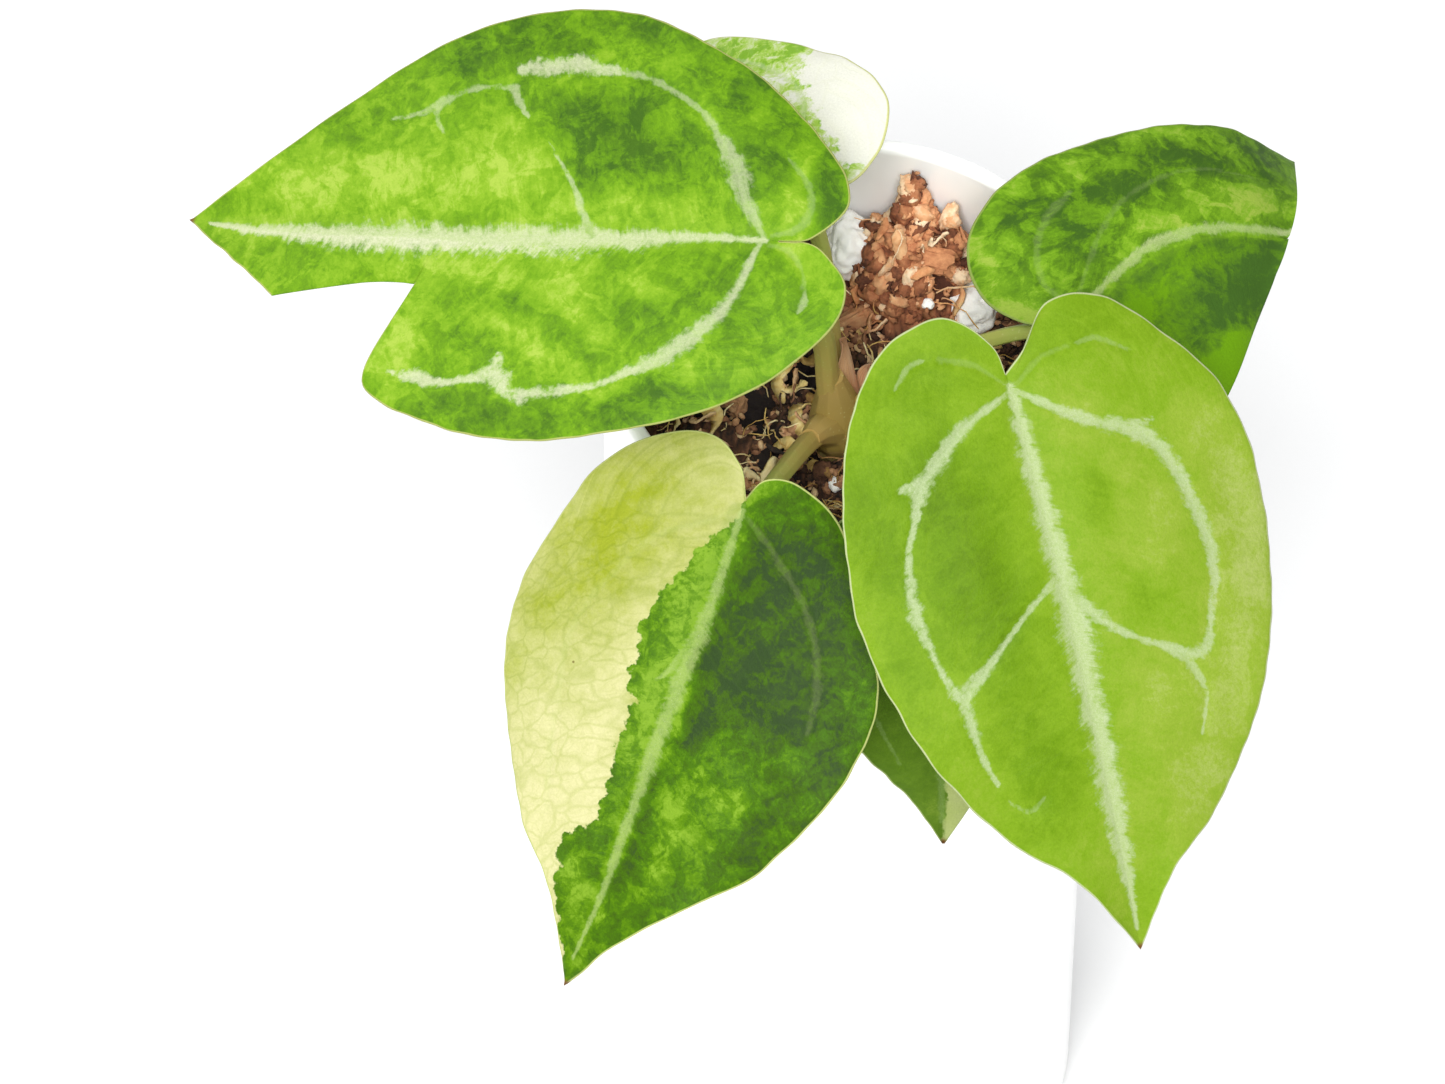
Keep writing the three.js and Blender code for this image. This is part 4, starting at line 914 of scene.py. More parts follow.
def leaf_finish(name, greens, silver, margin, under, blotch, clouds, streaks, speckle, sector=None, tooth=1.0,
                soft=0.25, net=0.0, margin_width=0.22, light=LIGHT_ON_LEAVES, mottled=0.4, warmth=0.0,
                drift=1.1, mesh_size=5.5):
    """A leaf's material. greens runs from its darkest to its lightest patch, as they look in bright light."""
    material, tree, surface = new_material(name, roughness=0.5, Specular_IOR_Level=0.06)
    plane, flow = stored(tree, "plane", "Vector"), stored(tree, "flow", "Vector")
    tone, back = stored(tree, "tone"), stored(tree, "under")
    shade = use(marbling, Plane=plane, Flow=flow, Tone=tone, Blotch=blotch, Clouds=clouds, Streaks=streaks,
                Speckle=speckle)["Shade"]
    grain = use(velvet, Plane=plane)
    web = use(vein_net, Flow=flow, Mesh=mesh_size)["Mask"]
    light_green = greens.split()[3]
    skin = coat(colour_ramp(shade, TONE_PLACES, greens), times(web, WEB_SHARE), light_green)
    if sector is not None:
        mask = use(frayed_sector, Plane=plane, Depth=stored(tree, "sector"), Tooth=tooth, Soft=soft)["Mask"]
        cast = plus(tone, times(noise_at(plane, 0.12, detail=4, roughness=0.6), drift))
        mottle = times(calc("SUBTRACT", shade, 0.5), mottled)
        cast = plus(cast, plus(mottle, warmth), clamp=True)
        pale, warm, line = [colour(code) for code in sector.split()]
        cream = blend(times(web, net), blend(cast, pale, warm), line, "MULTIPLY")
        skin = blend(mask, skin, cream)
        dots = times(between(dots_at(plane, 0.11), 0.035, 0.02), mask)
        skin = coat(skin, times(dots, SPECK_SHARE), SPECK_BROWN)
    veins = use(silver_vein, Plane=plane, Flow=flow, Ratio=stored(tree, "vein_ratio"),
                Strength=stored(tree, "vein_strength"))
    skin = coat(skin, veins["Silver"], silver)
    # Near-white glints laid on the silver veins are painted highlights.
    skin = coat(skin, veins["Painted Glint"], PAINTED_GLINT)
    skin = coat(skin, between(stored(tree, "midrib_gap"), 0.32, 0.1, 0.0, CREASE_SHARE), light_green)
    # Pale margin line: partly the leaf's own rim, partly a painted highlight on the edge.
    rim = use(pale_margin, Plane=plane, Gap=stored(tree, "margin_gap"), Width=margin_width)["Mask"]
    skin = coat(skin, rim, margin)
    skin = coat(skin, between(stored(tree, "tip_gap"), 1.9, 0.5), DRY_TIP)
    skin = blend(back, skin, coat(skin, UNDER_SHARE, under))
    fill(surface["Base Color"], blend(1.0, skin, calc("DIVIDE", grain["Tint"], light), "MULTIPLY"))
    gloss = plus(times(veins["Silver"], SILVER_GLOSS), 0.5)
    fill(surface["Roughness"], plus(gloss, times(back, UNDER_DULLNESS)))
    bump(surface, plus(grain["Height"], times(web, -0.8)), distance=0.06, strength=0.55)
    return material


# %% Colours of the six leaves
LEAF_FINISHES = {
    "leaf_left": leaf_finish(
        "marbled green leaf", "4a7420 66981c 7eb41c 9ac92e bcdc54", "eef2c8", "c4cc74", "a3bf6a",
        blotch=9, clouds=0.6, streaks=0.6, speckle=0.42),
    "leaf_back": leaf_finish(
        "half cream leaf", "90c438 b2dc52 cce884 e4f2ba fafcea", "dbe8bc", "e4e69a", "c9d6a0",
        blotch=6, clouds=1.3, streaks=1.3, speckle=0.6, sector="fffff0 fffff0 eef2c0", tooth=1.6,
        soft=0.6, net=0.1, light=1.72),
    "leaf_right": leaf_finish(
        "dark marbled leaf", "4a7224 62901e 78ac20 90c42a b4d450", "d8e8a0", "a9c060", "93b062",
        blotch=10, clouds=0.9, streaks=0.5, speckle=0.5, sector="4c7428 7cb414 446c1e", tooth=0.35,
        mottled=1.3, warmth=0.42),
    "leaf_front_right": leaf_finish(
        "young lime leaf", "648c08 78a410 8eb822 a4c23e c4d476", "d4e4b0", "d4e0a4", "b4cc7e",
        blotch=15, clouds=0.26, streaks=0.24, speckle=0.4, margin_width=0.2),
    "leaf_front_left": leaf_finish(
        "half cream dark leaf", "385226 466a10 50800a 6a9c0a 92be30", "d2e490", "dbe48c", "a9bf70",
        blotch=6, clouds=0.65, streaks=0.35, speckle=0.6, sector="f2eeb0 aebc32 b8cc6c", tooth=1.1,
        net=0.3, margin_width=0.2, drift=0.6, mesh_size=4.0),
    "leaf_low": leaf_finish(
        "dark olive leaf", "4a7010 567c12 5e8418 6c9220 8eae38", "a9c878", "b8c880", "93ad62",
        blotch=8, clouds=0.35, streaks=0.35, speckle=0.4, sector="c8d488 b4c864 a9c060", tooth=0.5),
}

# %% Build the six blades
for number, name in enumerate(LEAVES):
    add_piece(f"blade_{name[5:]}", make_blade(name, 11 + number), LEAF_FINISHES[name], name)

# %% [markdown]
# ## Stalks
# A leaf stalk of this species has four soft wings along it, where most have none, and a swollen joint just
# under the blade that turns the leaf to the light. A stalk follows a path, so Geometry Nodes sweep a
# four-pointed star with rounded tips along it. The path carries the girth at each point, which swells it at
# the foot and the joint.

# %% Geometry tree that sweeps a winged stalk
def grown(tree, source, values):
    """Runs a geometry tree on a mesh with named input values and gives back a plain mesh."""
    holder = add_object("holder", source)
    modifier = holder.modifiers.new("grow", "NODES")
    modifier.node_group = tree
    socket_of = {item.name: item.identifier for item in tree.interface.items_tree if item.in_out == "INPUT"}
    for name, value in values.items():
        modifier[socket_of[name]] = value
    graph = bpy.context.evaluated_depsgraph_get()
    evaluated = holder.evaluated_get(graph)
    mesh = bpy.data.meshes.new_from_object(evaluated, preserve_all_data_layers=True, depsgraph=graph)
    holder.modifiers.remove(modifier)
    bpy.data.objects.remove(holder)
    return mesh


def close_tree(geometry, given, result):
    """Every geometry tree here ends the same way: real geometry, with its finish."""
    tree = geometry.id_data
    real = output_of(tree, "GeometryNodeRealizeInstances", {"Geometry": geometry})
    finish = {"Geometry": real, "Material": given["Material"]}
    fill(result["Geometry"], output_of(tree, "GeometryNodeSetMaterial", finish))


def carried(tree, name):
    """The number that each point of a mesh carries under this name."""
    return output_of(tree, "GeometryNodeInputNamedAttribute", {"Name": name})


sweep, given, result = new_group("sweep along path", "Geometry", {
    "Geometry": "Geometry", "Wings": 4, "Wing Depth": 0.12, "Corner": 0.25, "Material": "Material"},
    "Geometry")
path = output_of(sweep, "GeometryNodeMeshToCurve", {"Mesh": given["Geometry"]})
star = output_of(sweep, "GeometryNodeCurveStar", {
    "Points": given["Wings"], "Outer Radius": plus(1.0, given["Wing Depth"]),
    "Inner Radius": calc("SUBTRACT", 1.0, given["Wing Depth"])})
rounded = output_of(sweep, "GeometryNodeFilletCurve", {
    "Curve": star, "Count": 3, "Radius": given["Corner"], "Limit Radius": True}, mode="POLY")
swept = output_of(sweep, "GeometryNodeCurveToMesh", {
    "Curve": path, "Profile Curve": rounded, "Scale": carried(sweep, "girth"), "Fill Caps": True})
close_tree(output_of(sweep, "GeometryNodeSetShadeSmooth", {"Geometry": swept}), given, result)


# %% Paths of the stalks
STALK_STEPS = 70
STALK_END_DROPS = (-6, -0.3)
STALK_TAPER = 0.22
FOOT_SWELL = 0.225
FOOT_FALL = 9
JOINT_SWELL = 0.45
JOINT_PLACE = 0.93
JOINT_WIDTH = 0.05


def add_swept(name, lines, girths, profile, material, solid):
    """Sweeps a star, given by its wings, their depth and its rounding, along lines with a girth for each."""
    points, edges, girth, along = [], [], [], []
    for line, girth_at in zip(lines, girths):
        start, t = len(points), np.linspace(0, 1, len(line))
        points += (line * MM).tolist()
        edges += [(start + i, start + i + 1) for i in range(len(line) - 1)]
        girth += (girth_at(t) * MM).tolist()
        along += t.tolist()
    source = bpy.data.meshes.new(f"{name} path")
    source.from_pydata(points, edges, [])
    store(source, "girth", girth)
    store(source, "along", along)
    values = dict(zip(("Wings", "Wing Depth", "Corner"), profile))
    add_piece(name, grown(sweep, source, {**values, "Material": material}), None, solid)


def stalk_path(leaf):
    """The stalk's centre line: from the stem to just under the hub, which it meets square to the blade."""
    place = place_of(leaf)
    ends = [tuple(place @ Vector((0, 0, drop))) for drop in STALK_END_DROPS]
    return evenly(smooth_line([*leaf["stalk"], *ends], 30, tight=True), STALK_STEPS)


def stalk_girth(leaf):
    """Half-width along the stalk: wide at the foot, slim above, swollen at the joint under the blade."""
    def girth_at(t):
        plain = leaf["girth"] * (1 - STALK_TAPER * t + FOOT_SWELL * np.exp(-FOOT_FALL * t))
        return plain + JOINT_SWELL * bell(t - JOINT_PLACE, JOINT_WIDTH)
    return girth_at


# %% [markdown]
# A stalk is olive green, browner at its foot and paler at its joint, with tiny lenticels. The finish reads
# how far along the stalk a point is, which the path carried through the sweep.

# %% Stalk finish and stalks
STALK_PLACES = (0.02, 0.22, 0.8, 1.0)
LENTICEL = "c9c98c"


def stalk_finish(name, colours):
    """A stalk's material, with its colours from the foot to the joint under the blade."""
    material, tree, surface = new_material(name, roughness=0.42, Specular_IOR_Level=0.4)
    place = object_place(tree)
    along = plus(stored(tree, "along"), times(noise_at(place, 260, detail=4, roughness=0.6), 0.5), clamp=True)
    spots = between(dots_at(place, 900.0), 0.22, 0.1, 0.0, 0.35)
    fill(surface["Base Color"], coat(colour_ramp(along, STALK_PLACES, colours), spots, LENTICEL))
    bump(surface, noise_at(place, 1500, detail=3), distance=0.08, strength=0.4)
    return material


STALK_GREEN = stalk_finish("stalk green", "a88c50 b49e58 a4b054 b9cf7e")
for name, leaf in LEAVES.items():
    piece_name = f"stalk_{name[5:]}"
    add_swept(piece_name, [stalk_path(leaf)], [stalk_girth(leaf)], (4, 0.1, 0.3), STALK_GREEN, name)

# %% [markdown]
# ## Stem and roots
# The stem is a stub as thick as a finger, ringed where old leaves dropped, with a few roots that dive into
# the medium. The same sweep makes them, with more and shallower ribs, so the bark looks grooved. An olive
# collar joins the feet of two stalks to it, where their bases have grown round the stem.

# %% Stem, roots and their finish
STEM_PATH = [(-1, 3, 205), (-2.5, -1, 228), (-3, -3, 240), (-3, -3.5, 248.4)]
STEM_RADIUS = 5.6
COLLAR_PATHS = [
    [(-2.6, -3.2, 238), (-3, -3.2, 243), (-3.6, -3.3, 249), (-4.3, -3.5, 256)],
    [(-3, -4.5, 238), (-4.6, -6, 242), (-7, -9.5, 245.5), (-8.6, -12.5, 247.3)],
]
COLLAR_GIRTHS = [lambda t: 6.6 - 4.3 * t**1.1, lambda t: 5.2 - 3.1 * t]
ROOT_COUNT = 5
ROOT_LENGTH = 62
ROOT_CENTRE = (-2, 1)
ROOT_CURVE = 0.5
SCAR_RINGS = 0.05
FINE_RINGS = 0.035


def stem_girth(t):
    """Half-width of the stem, with the rings of old leaf scars and a domed top."""
    rings = SCAR_RINGS * np.sin(32 * t) + FINE_RINGS * np.sin(90 * t)
    dome = np.sqrt(np.clip((1.002 - t) / 0.06, 0.02, 1))
    return STEM_RADIUS * (1.08 - 0.25 * t + rings) * dome


def root_girth(t):
    """Half-width of a root, from the stem to its tip."""
    return 1.7 - 0.9 * t


def root_lines():
    """Roots that leave the stem below the surface and spread as they go down."""
    random = np.random.default_rng(7)
    lines = []
    for i in range(ROOT_COUNT):
        start_turn = 2 * math.pi * (i + 0.3 * random.random()) / ROOT_COUNT
        reach, top = 17 + 12 * random.random(), 224 - 13 * random.random()
        stops = []
        for t in (0, 0.25, 0.6, 1):
            turn, out = start_turn + ROOT_CURVE * t, reach * t**0.5
            x, y = ROOT_CENTRE[0] + out * math.cos(turn), ROOT_CENTRE[1] + out * math.sin(turn)
            stops.append((x, y, top - ROOT_LENGTH * t * (0.6 + 0.4 * t)))
        lines.append(evenly(smooth_line(stops, 20, tight=True), 30))
    return lines


bark_skin, tree, surface = new_material("stem bark", roughness=0.8)
place = object_place(tree)
rind = plus(noise_at(place, 220, detail=5, roughness=0.6), 0.5, clamp=True)
fill(surface["Base Color"], colour_ramp(rind, (0.25, 0.45, 0.62, 0.8), "6a5430 8c7440 a08c50 b49c68"))
bump(surface, noise_at(place, 900, detail=4, roughness=0.6), distance=0.15, strength=0.5)
stem_line = evenly(smooth_line(STEM_PATH, 30, tight=True), 80)
collar_lines = [evenly(smooth_line(stops, 20, tight=True), 30) for stops in COLLAR_PATHS]
COLLAR_OLIVE = stalk_finish("collar olive", "7a6638 94803e a48c50 a88c50")
for name, lines, girths, profile, material in (
        ("stem_bark", [stem_line], [stem_girth], (11, 0.05, 0.12), bark_skin),
        ("stem_collar", collar_lines, COLLAR_GIRTHS, (9, 0.03, 0.2), COLLAR_OLIVE),
        ("roots", root_lines(), [root_girth] * ROOT_COUNT, (7, 0.06, 0.15), bark_skin)):
    add_swept(name, lines, girths, profile, material, "stem")

# %% [markdown]
# ## Papery sheaths
# Each bud of the plant was wrapped in a thin sheath that dried to tan paper and stays round the foot of a
# stalk. It is a curved pointed strip with fine parallel veins. A sheet bent by formula keeps its strip form
# and lets its edges curl, and gets its thickness by a second sheet outside it.

# %% Sheath shapes and finish
SHEATHS = {
    "sheath_tall": dict(foot=(-3, -1.6, 240), lean=(-3.2, 5.2, 20), facing=-60, twist=45, radius=4.6,
                        flare=-0.9, spread=80),
    "sheath_short": dict(foot=(-3.6, -2, 243), lean=(0.4, 1.8, 11), facing=5, twist=0, radius=5.8,
                         flare=0.8, spread=48),
}
SHEATH_THICK = 0.55
SHEATH_ROWS = 48
SHEATH_COLUMNS = 40
POINT_SHARE = 0.85
POINT_SHARPNESS = 2.2


def make_sheath(name, shape):
    """A pointed strip bent round a stalk, with a rippled edge and fine ridges."""
    heights, widths = np.linspace(0, 1, SHEATH_ROWS + 1), np.linspace(-1, 1, SHEATH_COLUMNS + 1)
    up, wide = np.meshgrid(heights, widths, indexing="ij")
    edge = np.abs(wide)
    spread = math.radians(shape["spread"]) * (1 - POINT_SHARE * up**POINT_SHARPNESS)
    middle = np.radians(shape["facing"] + shape["twist"] * up)
    angle = middle + spread * (wide + 0.05 * np.sin(9 * up + 3 * wide) * edge)
    ridge = 0.07 * np.sin(wide * 34) + 0.25 * np.sin(up * 11 + wide * 2) * up
    curl = 0.5 * edge**3 * (0.3 + up)
    sheets = []
    for thick in (0, SHEATH_THICK):
        out = shape["radius"] + shape["flare"] * up**2 + ridge * (0.4 + 0.6 * up) + curl
        out = out + thick * (1 - 0.5 * up)
        x, y, z = [foot + lean * up for foot, lean in zip(shape["foot"], shape["lean"])]
        sheets.append(np.stack([x + out * np.cos(angle), y + out * np.sin(angle), z], 2).reshape(-1, 3))
    count = len(sheets[0])
    n = np.arange(count).reshape(up.shape)
    a, b, c, d = [corner.ravel() for corner in (n[:-1, :-1], n[:-1, 1:], n[1:, 1:], n[1:, :-1])]
    ring = np.concatenate([n[0], n[1:, -1], n[-1, -2::-1], n[-2:0:-1, 0]])
    after = np.roll(ring, -1)
    outer, inner = np.stack([a, b, c, d]) + count, np.stack([a, d, c, b])
    rim = np.stack([ring, after, after + count, ring + count])
    mesh = build_mesh(name, np.vstack(sheets), np.hstack([outer, inner, rim]).T)
    flow = np.column_stack([wide.ravel() * 8, up.ravel() * 20, np.zeros(count)])
    store(mesh, "flow", np.vstack([flow, flow]))
    return mesh


papery, tree, surface = new_material("papery sheath", roughness=0.6, Sheen_Weight=0.1)
flow = stored(tree, "flow", "Vector")
fibres = plus(noise_at(stretched(flow, 3.2, 0.12, 1.0), 1.0, detail=5, roughness=0.65), 0.5, clamp=True)
skin = colour_ramp(fibres, (0.25, 0.42, 0.6, 0.8), "a8744c cf9a6c e0b78c ecd2ae")
height_up = node(tree, "ShaderNodeSeparateXYZ", {0: flow}).outputs["Y"]
skin = coat(skin, between(height_up, 15.0, 20.0, 0.0, 0.7), "8a5532")
skin = coat(skin, between(height_up, 5.0, 0.0, 0.0, 0.55), "a3a45e")
fill(surface["Base Color"], skin)
bump(surface, fibres, distance=0.2, strength=0.6)
for name, shape in SHEATHS.items():
    add_piece(f"{name}_paper", make_sheath(name, shape), papery, name)

# %% [markdown]
# ## Growing medium
# The pot holds coarse bark and coconut fibre, with a heap of fresh reddish fibre against its back wall. A
# single lumpy surface would look like clay, so the bed only gives the form, with four dug pockets, and
# Geometry Nodes scatter six kinds of litter on it: bark pieces, tufts, crumbs, shreds, strips and hairs. In
# its pits and pockets the bed's colour goes near black: painted shade.
# Each kind has a few source shapes, turned, sized and toned at random from a fixed seed. Five curls of fibre
# are laid one by one.

# %% The bed
MEDIUM_LEVEL = 234
MEDIUM_RADIUS = 46.1
MEDIUM_BOTTOM = 5.35
BED_RINGS = 64
BED_SIDES = 150
SURFACE_SLACK = 1.5
HEAP_START = 2.5
ROUGHNESS_HEIGHT = 1.3
PIT_DEPTH = 4.5
# Dug pockets in the bed; the bed's colour is painted near black in them, as shade.
POCKETS = ((-20.5, 6.5, 6), (-4.5, -6, 4), (-18.5, 0.5, 4), (17.5, 28, 4.5))


def bed_height(x, y):
    """The gently rolling surface of the bed."""
    roll = math.sin(x * 0.16 + 1) * math.cos(y * 0.13) + 0.6 * math.sin(x * 0.07 - y * 0.19)
    return MEDIUM_LEVEL + 1.1 * roll


def clamped(value):
    """The value, or the nearer of 0 and 1 outside them."""
    return min(1.0, max(0.0, value))


def ring_faces(levels, sides, end, start=None):
    """Triangles that join rings of points one after another, and close an end that has a centre point."""
    around = np.arange(sides)
    after = (around + 1) % sides
    last = (levels - 1) * sides
    faces = []
    for a in range(0, last, sides):
        b = a + sides
        faces += [(a + around, b + around, b + after), (a + around, b + after, a + after)]
    faces.append((np.full(sides, end), last + after, last + around))
    if start is not None:
        faces.append((np.full(sides, start), around, after))
    return np.hstack(faces).T


def make_bed():
    """A fine round of medium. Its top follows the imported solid, found by dropping a line on to it."""
    solid = frame["nodes"]["growing_medium"].data
    corners = [v.co / MM for v in solid.vertices]
    surface = BVHTree.FromPolygons(corners, [tuple(p.vertices) for p in solid.polygons])
    points, hollow = [], []
    for ring in range(BED_RINGS + 1):
        radius = MEDIUM_RADIUS * ring / BED_RINGS
        for k in range(BED_SIDES):
            turn = 2 * math.pi * k / BED_SIDES
            x, y = radius * math.cos(turn), radius * math.sin(turn)
            smooth = bed_height(x, y)
            inward = min(1.0, (MEDIUM_RADIUS - 0.1) / max(radius, 1e-6))
            hit = surface.ray_cast(Vector((x * inward, y * inward, 300)), Vector((0, 0, -1)))[0]
            lift = max(hit.z if hit else smooth, smooth - SURFACE_SLACK)
            on_heap = clamped((lift - smooth - HEAP_START) / 3)
            pits = noise.fractal(Vector((x, y, 9)) * 0.085, 0.9, 2.1, 3)
            pit = clamped((pits - 0.05) / 0.35) * (1 - on_heap) * clamped((MEDIUM_RADIUS - radius) / 3)
            deep = [1.6 * (1 - math.hypot(x - px, y - py) / size) for px, py, size in POCKETS]
            pocket = clamped(max(deep))
            pit = max(pit, pocket)
            lumps = noise.fractal(Vector((x, y, 0)) * 0.22, 0.8, 2.2, 4)
            points.append((x, y, lift + ROUGHNESS_HEIGHT * lumps - PIT_DEPTH * pit))
            hollow.append(pit - on_heap * (1 - pocket))
    points += [(x, y, MEDIUM_BOTTOM) for x, y, _ in points[-BED_SIDES:]] + [(0, 0, MEDIUM_BOTTOM)]
    hollow += [0.0] * (BED_SIDES + 1)
    faces = ring_faces(BED_RINGS + 2, BED_SIDES, len(points) - 1)

    # The first ring is one place, so every second triangle next to it would have no area
    faces = np.delete(faces, range(BED_SIDES, 2 * BED_SIDES), axis=0)
    mesh = build_mesh("medium_bed", points, faces)
    store(mesh, "hollow", hollow)
    form = bmesh.new()
    form.from_mesh(mesh)
    bmesh.ops.remove_doubles(form, verts=form.verts, dist=1e-6)
    form.to_mesh(mesh)
    form.free()
    return mesh


# %% Finish of the medium
HEAP_MIDDLE = (0.012, 0.037, 0.245)


def litter_finish(name, bed_colours, heap_colours):
    """Bark and fibre in many tones: darker in the bed, redder in the heap."""
    material, tree, surface = new_material(name, roughness=0.9)
    place = object_place(tree)
    mottle = noise_at(place, 420, detail=5, roughness=0.65)
    shade = plus(stored(tree, "shade"), times(mottle, 0.9), clamp=True)
    in_bed = colour_ramp(shade, (0.0, 0.3, 0.52, 0.74, 0.95), bed_colours)
    in_heap = colour_ramp(shade, (0.0, 0.25, 0.5, 0.75, 0.95), heap_colours)
    from_heap = plus(on_vectors("DISTANCE", place, HEAP_MIDDLE), times(mottle, 0.016))
    fill(surface["Base Color"], blend(between(from_heap, 0.024, 0.013), in_bed, in_heap))
    bump(surface, noise_at(place, 1100, detail=4, roughness=0.65), distance=0.3, strength=0.8)
    return material


BARK = litter_finish(
    "bark and fibre", "1e1512 5c3d2a 94684a c2946a e4c496", "56301f a06240 cc8e62 e2aa7c f4dab8")
FIBRE = litter_finish(
    "fibre strips", "8a643c b8924e d8b86c e8d08c f4e4b0", "9a5a3a cc8658 e2a472 f0c494 fae6c8")


# %% Source shapes of the litter
STRIP_STEPS = 8
CRUMPLE = 0.34
SPLIT_DEPTH = 0.1
STRIP_END_SHARE = 0.35


def bark_shape(seed, size, levels=3, tuft=False):
    """A rough block with softened corners, split along its grain, or a rounder, crumpled tuft of fibre."""
    shift = Vector((seed * 7.3, seed * 3.1, 0))
    corner, grain = (1.0, 2.3) if tuft else (0.55, 1.6)

    def moved_point(p):
        crumple = CRUMPLE * noise.fractal(p * grain + shift, 0.7, 2.1, 3)
        rough = 1 + crumple + SPLIT_DEPTH * math.sin(p.y * 9 + p.z * 7 + seed)
        return Vector([math.copysign(abs(c) ** corner, c) * s / 2 * rough for c, s in zip(p, size)])

    return shaped_ball("litter shape", levels, moved_point, tuft)


def strip_along(centres, width, thick, twist, random, smooth=True):
    """A flat strip of fibre that follows its centre line, rolls as it goes and narrows to its ends."""
    points, steps = [], len(centres) - 1
    for i, centre in enumerate(centres):
        share = i / steps
        ahead = (centres[min(i + 1, steps)] - centres[max(i - 1, 0)]).normalized()
        side = ahead.cross(Vector((0, 0.02, 1))).normalized()
        side.rotate(Matrix.Rotation(twist * share, 3, ahead))
        fullness = STRIP_END_SHARE + (1 - STRIP_END_SHARE) * math.sin(math.pi * share) ** 0.6
        out = side * (width / 2 * fullness * random.uniform(0.8, 1.15))
        up = side.cross(ahead) * thick / 2
        points += [tuple(centre + shift) for shift in (-out - up, out - up, out + up, up - out)]
    faces = [[4 * i + 4 + k, 4 * i + 4 + (k + 1) % 4, 4 * i + (k + 1) % 4, 4 * i + k]
             for i in range(steps) for k in range(4)]
    faces += [[0, 1, 2, 3], [4 * steps + 3, 4 * steps + 2, 4 * steps + 1, 4 * steps]]
    return build_mesh("strip", points, faces, smooth=smooth)


def strip_shape(seed, size, curl=0.28):
    """A strip whose line wanders at random as it goes. Only one with much curl is smooth."""
    random = np.random.default_rng(seed)
    length, width, thick = size
    twist = random.uniform(-1, 1) * (1 + 3 * curl)
    heading, at, line = Vector((1, 0, 0)), Vector((-length / 2, 0, 0)), []
    for _ in range(STRIP_STEPS + 1):
        line.append(at.copy())
        heading.rotate(Euler(random.normal(0, curl, 3)))
        at += heading * (length / STRIP_STEPS)
    return strip_along(line, width, thick, twist, random, curl > 0.3)


# %% Geometry tree that scatters litter
SCATTER_LEVEL = 0.228
THINNED_IN_HOLLOWS = 0.85
HEAP_OVERHANG = 0.003

litter, given, result = new_group("scattered litter", "Geometry", {
    "Geometry": "Geometry", "Shapes": "Collection", "Per Square Metre": 1000.0, "Seed": 1, "Smallest": 0.7,
    "Largest": 1.2, "Tilt": 0.5, "Reach": 0.042, "Lift": 0.0, "More On Heap": 0.0, "Material": "Material"},
    "Geometry")
spot = node(litter, "ShaderNodeSeparateXYZ", {0: output_of(litter, "GeometryNodeInputPosition")}).outputs
flat = output_of(litter, "ShaderNodeCombineXYZ", {"X": spot["X"], "Y": spot["Y"]})
near_top = calc("GREATER_THAN", spot["Z"], SCATTER_LEVEL)
hollow = carried(litter, "hollow")
on_heap = times(calc("MINIMUM", hollow, 0.0), -1.0)
share = calc("SUBTRACT", 1.0, times(calc("MAXIMUM", hollow, 0.0), THINNED_IN_HOLLOWS))
share = plus(share, times(on_heap, given["More On Heap"]))
reach = plus(given["Reach"], times(on_heap, HEAP_OVERHANG))
points_on = output_of(litter, "GeometryNodeDistributePointsOnFaces", {
    "Mesh": given["Geometry"], "Density": times(given["Per Square Metre"], share), "Seed": given["Seed"],
    "Selection": times(calc("LESS_THAN", on_vectors("LENGTH", flat), reach), near_top)})


def drawn(kind, low, high, seed_shift):
    """A random value for each point, from the tree's seed."""
    first, output = {"FLOAT_VECTOR": (0, 0), "FLOAT": (2, 1), "INT": (4, 2)}[kind]
    inputs = {first: low, first + 1: high, "Seed": plus(given["Seed"], float(seed_shift))}
    return node(litter, "FunctionNodeRandomValue", inputs, data_type=kind).outputs[output]


tilts = output_of(litter, "ShaderNodeCombineXYZ", {"X": given["Tilt"], "Y": given["Tilt"], "Z": 1.0})
turned = on_vectors("MULTIPLY", drawn("FLOAT_VECTOR", (-1, -1, -math.pi), (1, 1, math.pi), 1), tilts)
shapes = output_of(litter, "GeometryNodeCollectionInfo", {
    "Collection": given["Shapes"], "Separate Children": True, "Reset Children": True})
placed = output_of(litter, "GeometryNodeInstanceOnPoints", {
    "Points": points_on, "Instance": shapes, "Pick Instance": True, "Instance Index": drawn("INT", 0, 3, 2),
    "Rotation": output_of(litter, "FunctionNodeEulerToRotation", {0: turned}),
    "Scale": drawn("FLOAT", given["Smallest"], given["Largest"], 3)})
raised = output_of(litter, "GeometryNodeTranslateInstances", {
    "Instances": placed, "Local Space": False,
    "Translation": output_of(litter, "ShaderNodeCombineXYZ", {"Z": given["Lift"]})})
tone = {"Geometry": raised, "Name": "shade", "Value": drawn("FLOAT", 0.0, 1.0, 4)}
close_tree(output_of(litter, "GeometryNodeStoreNamedAttribute", tone, domain="INSTANCE"), given, result)

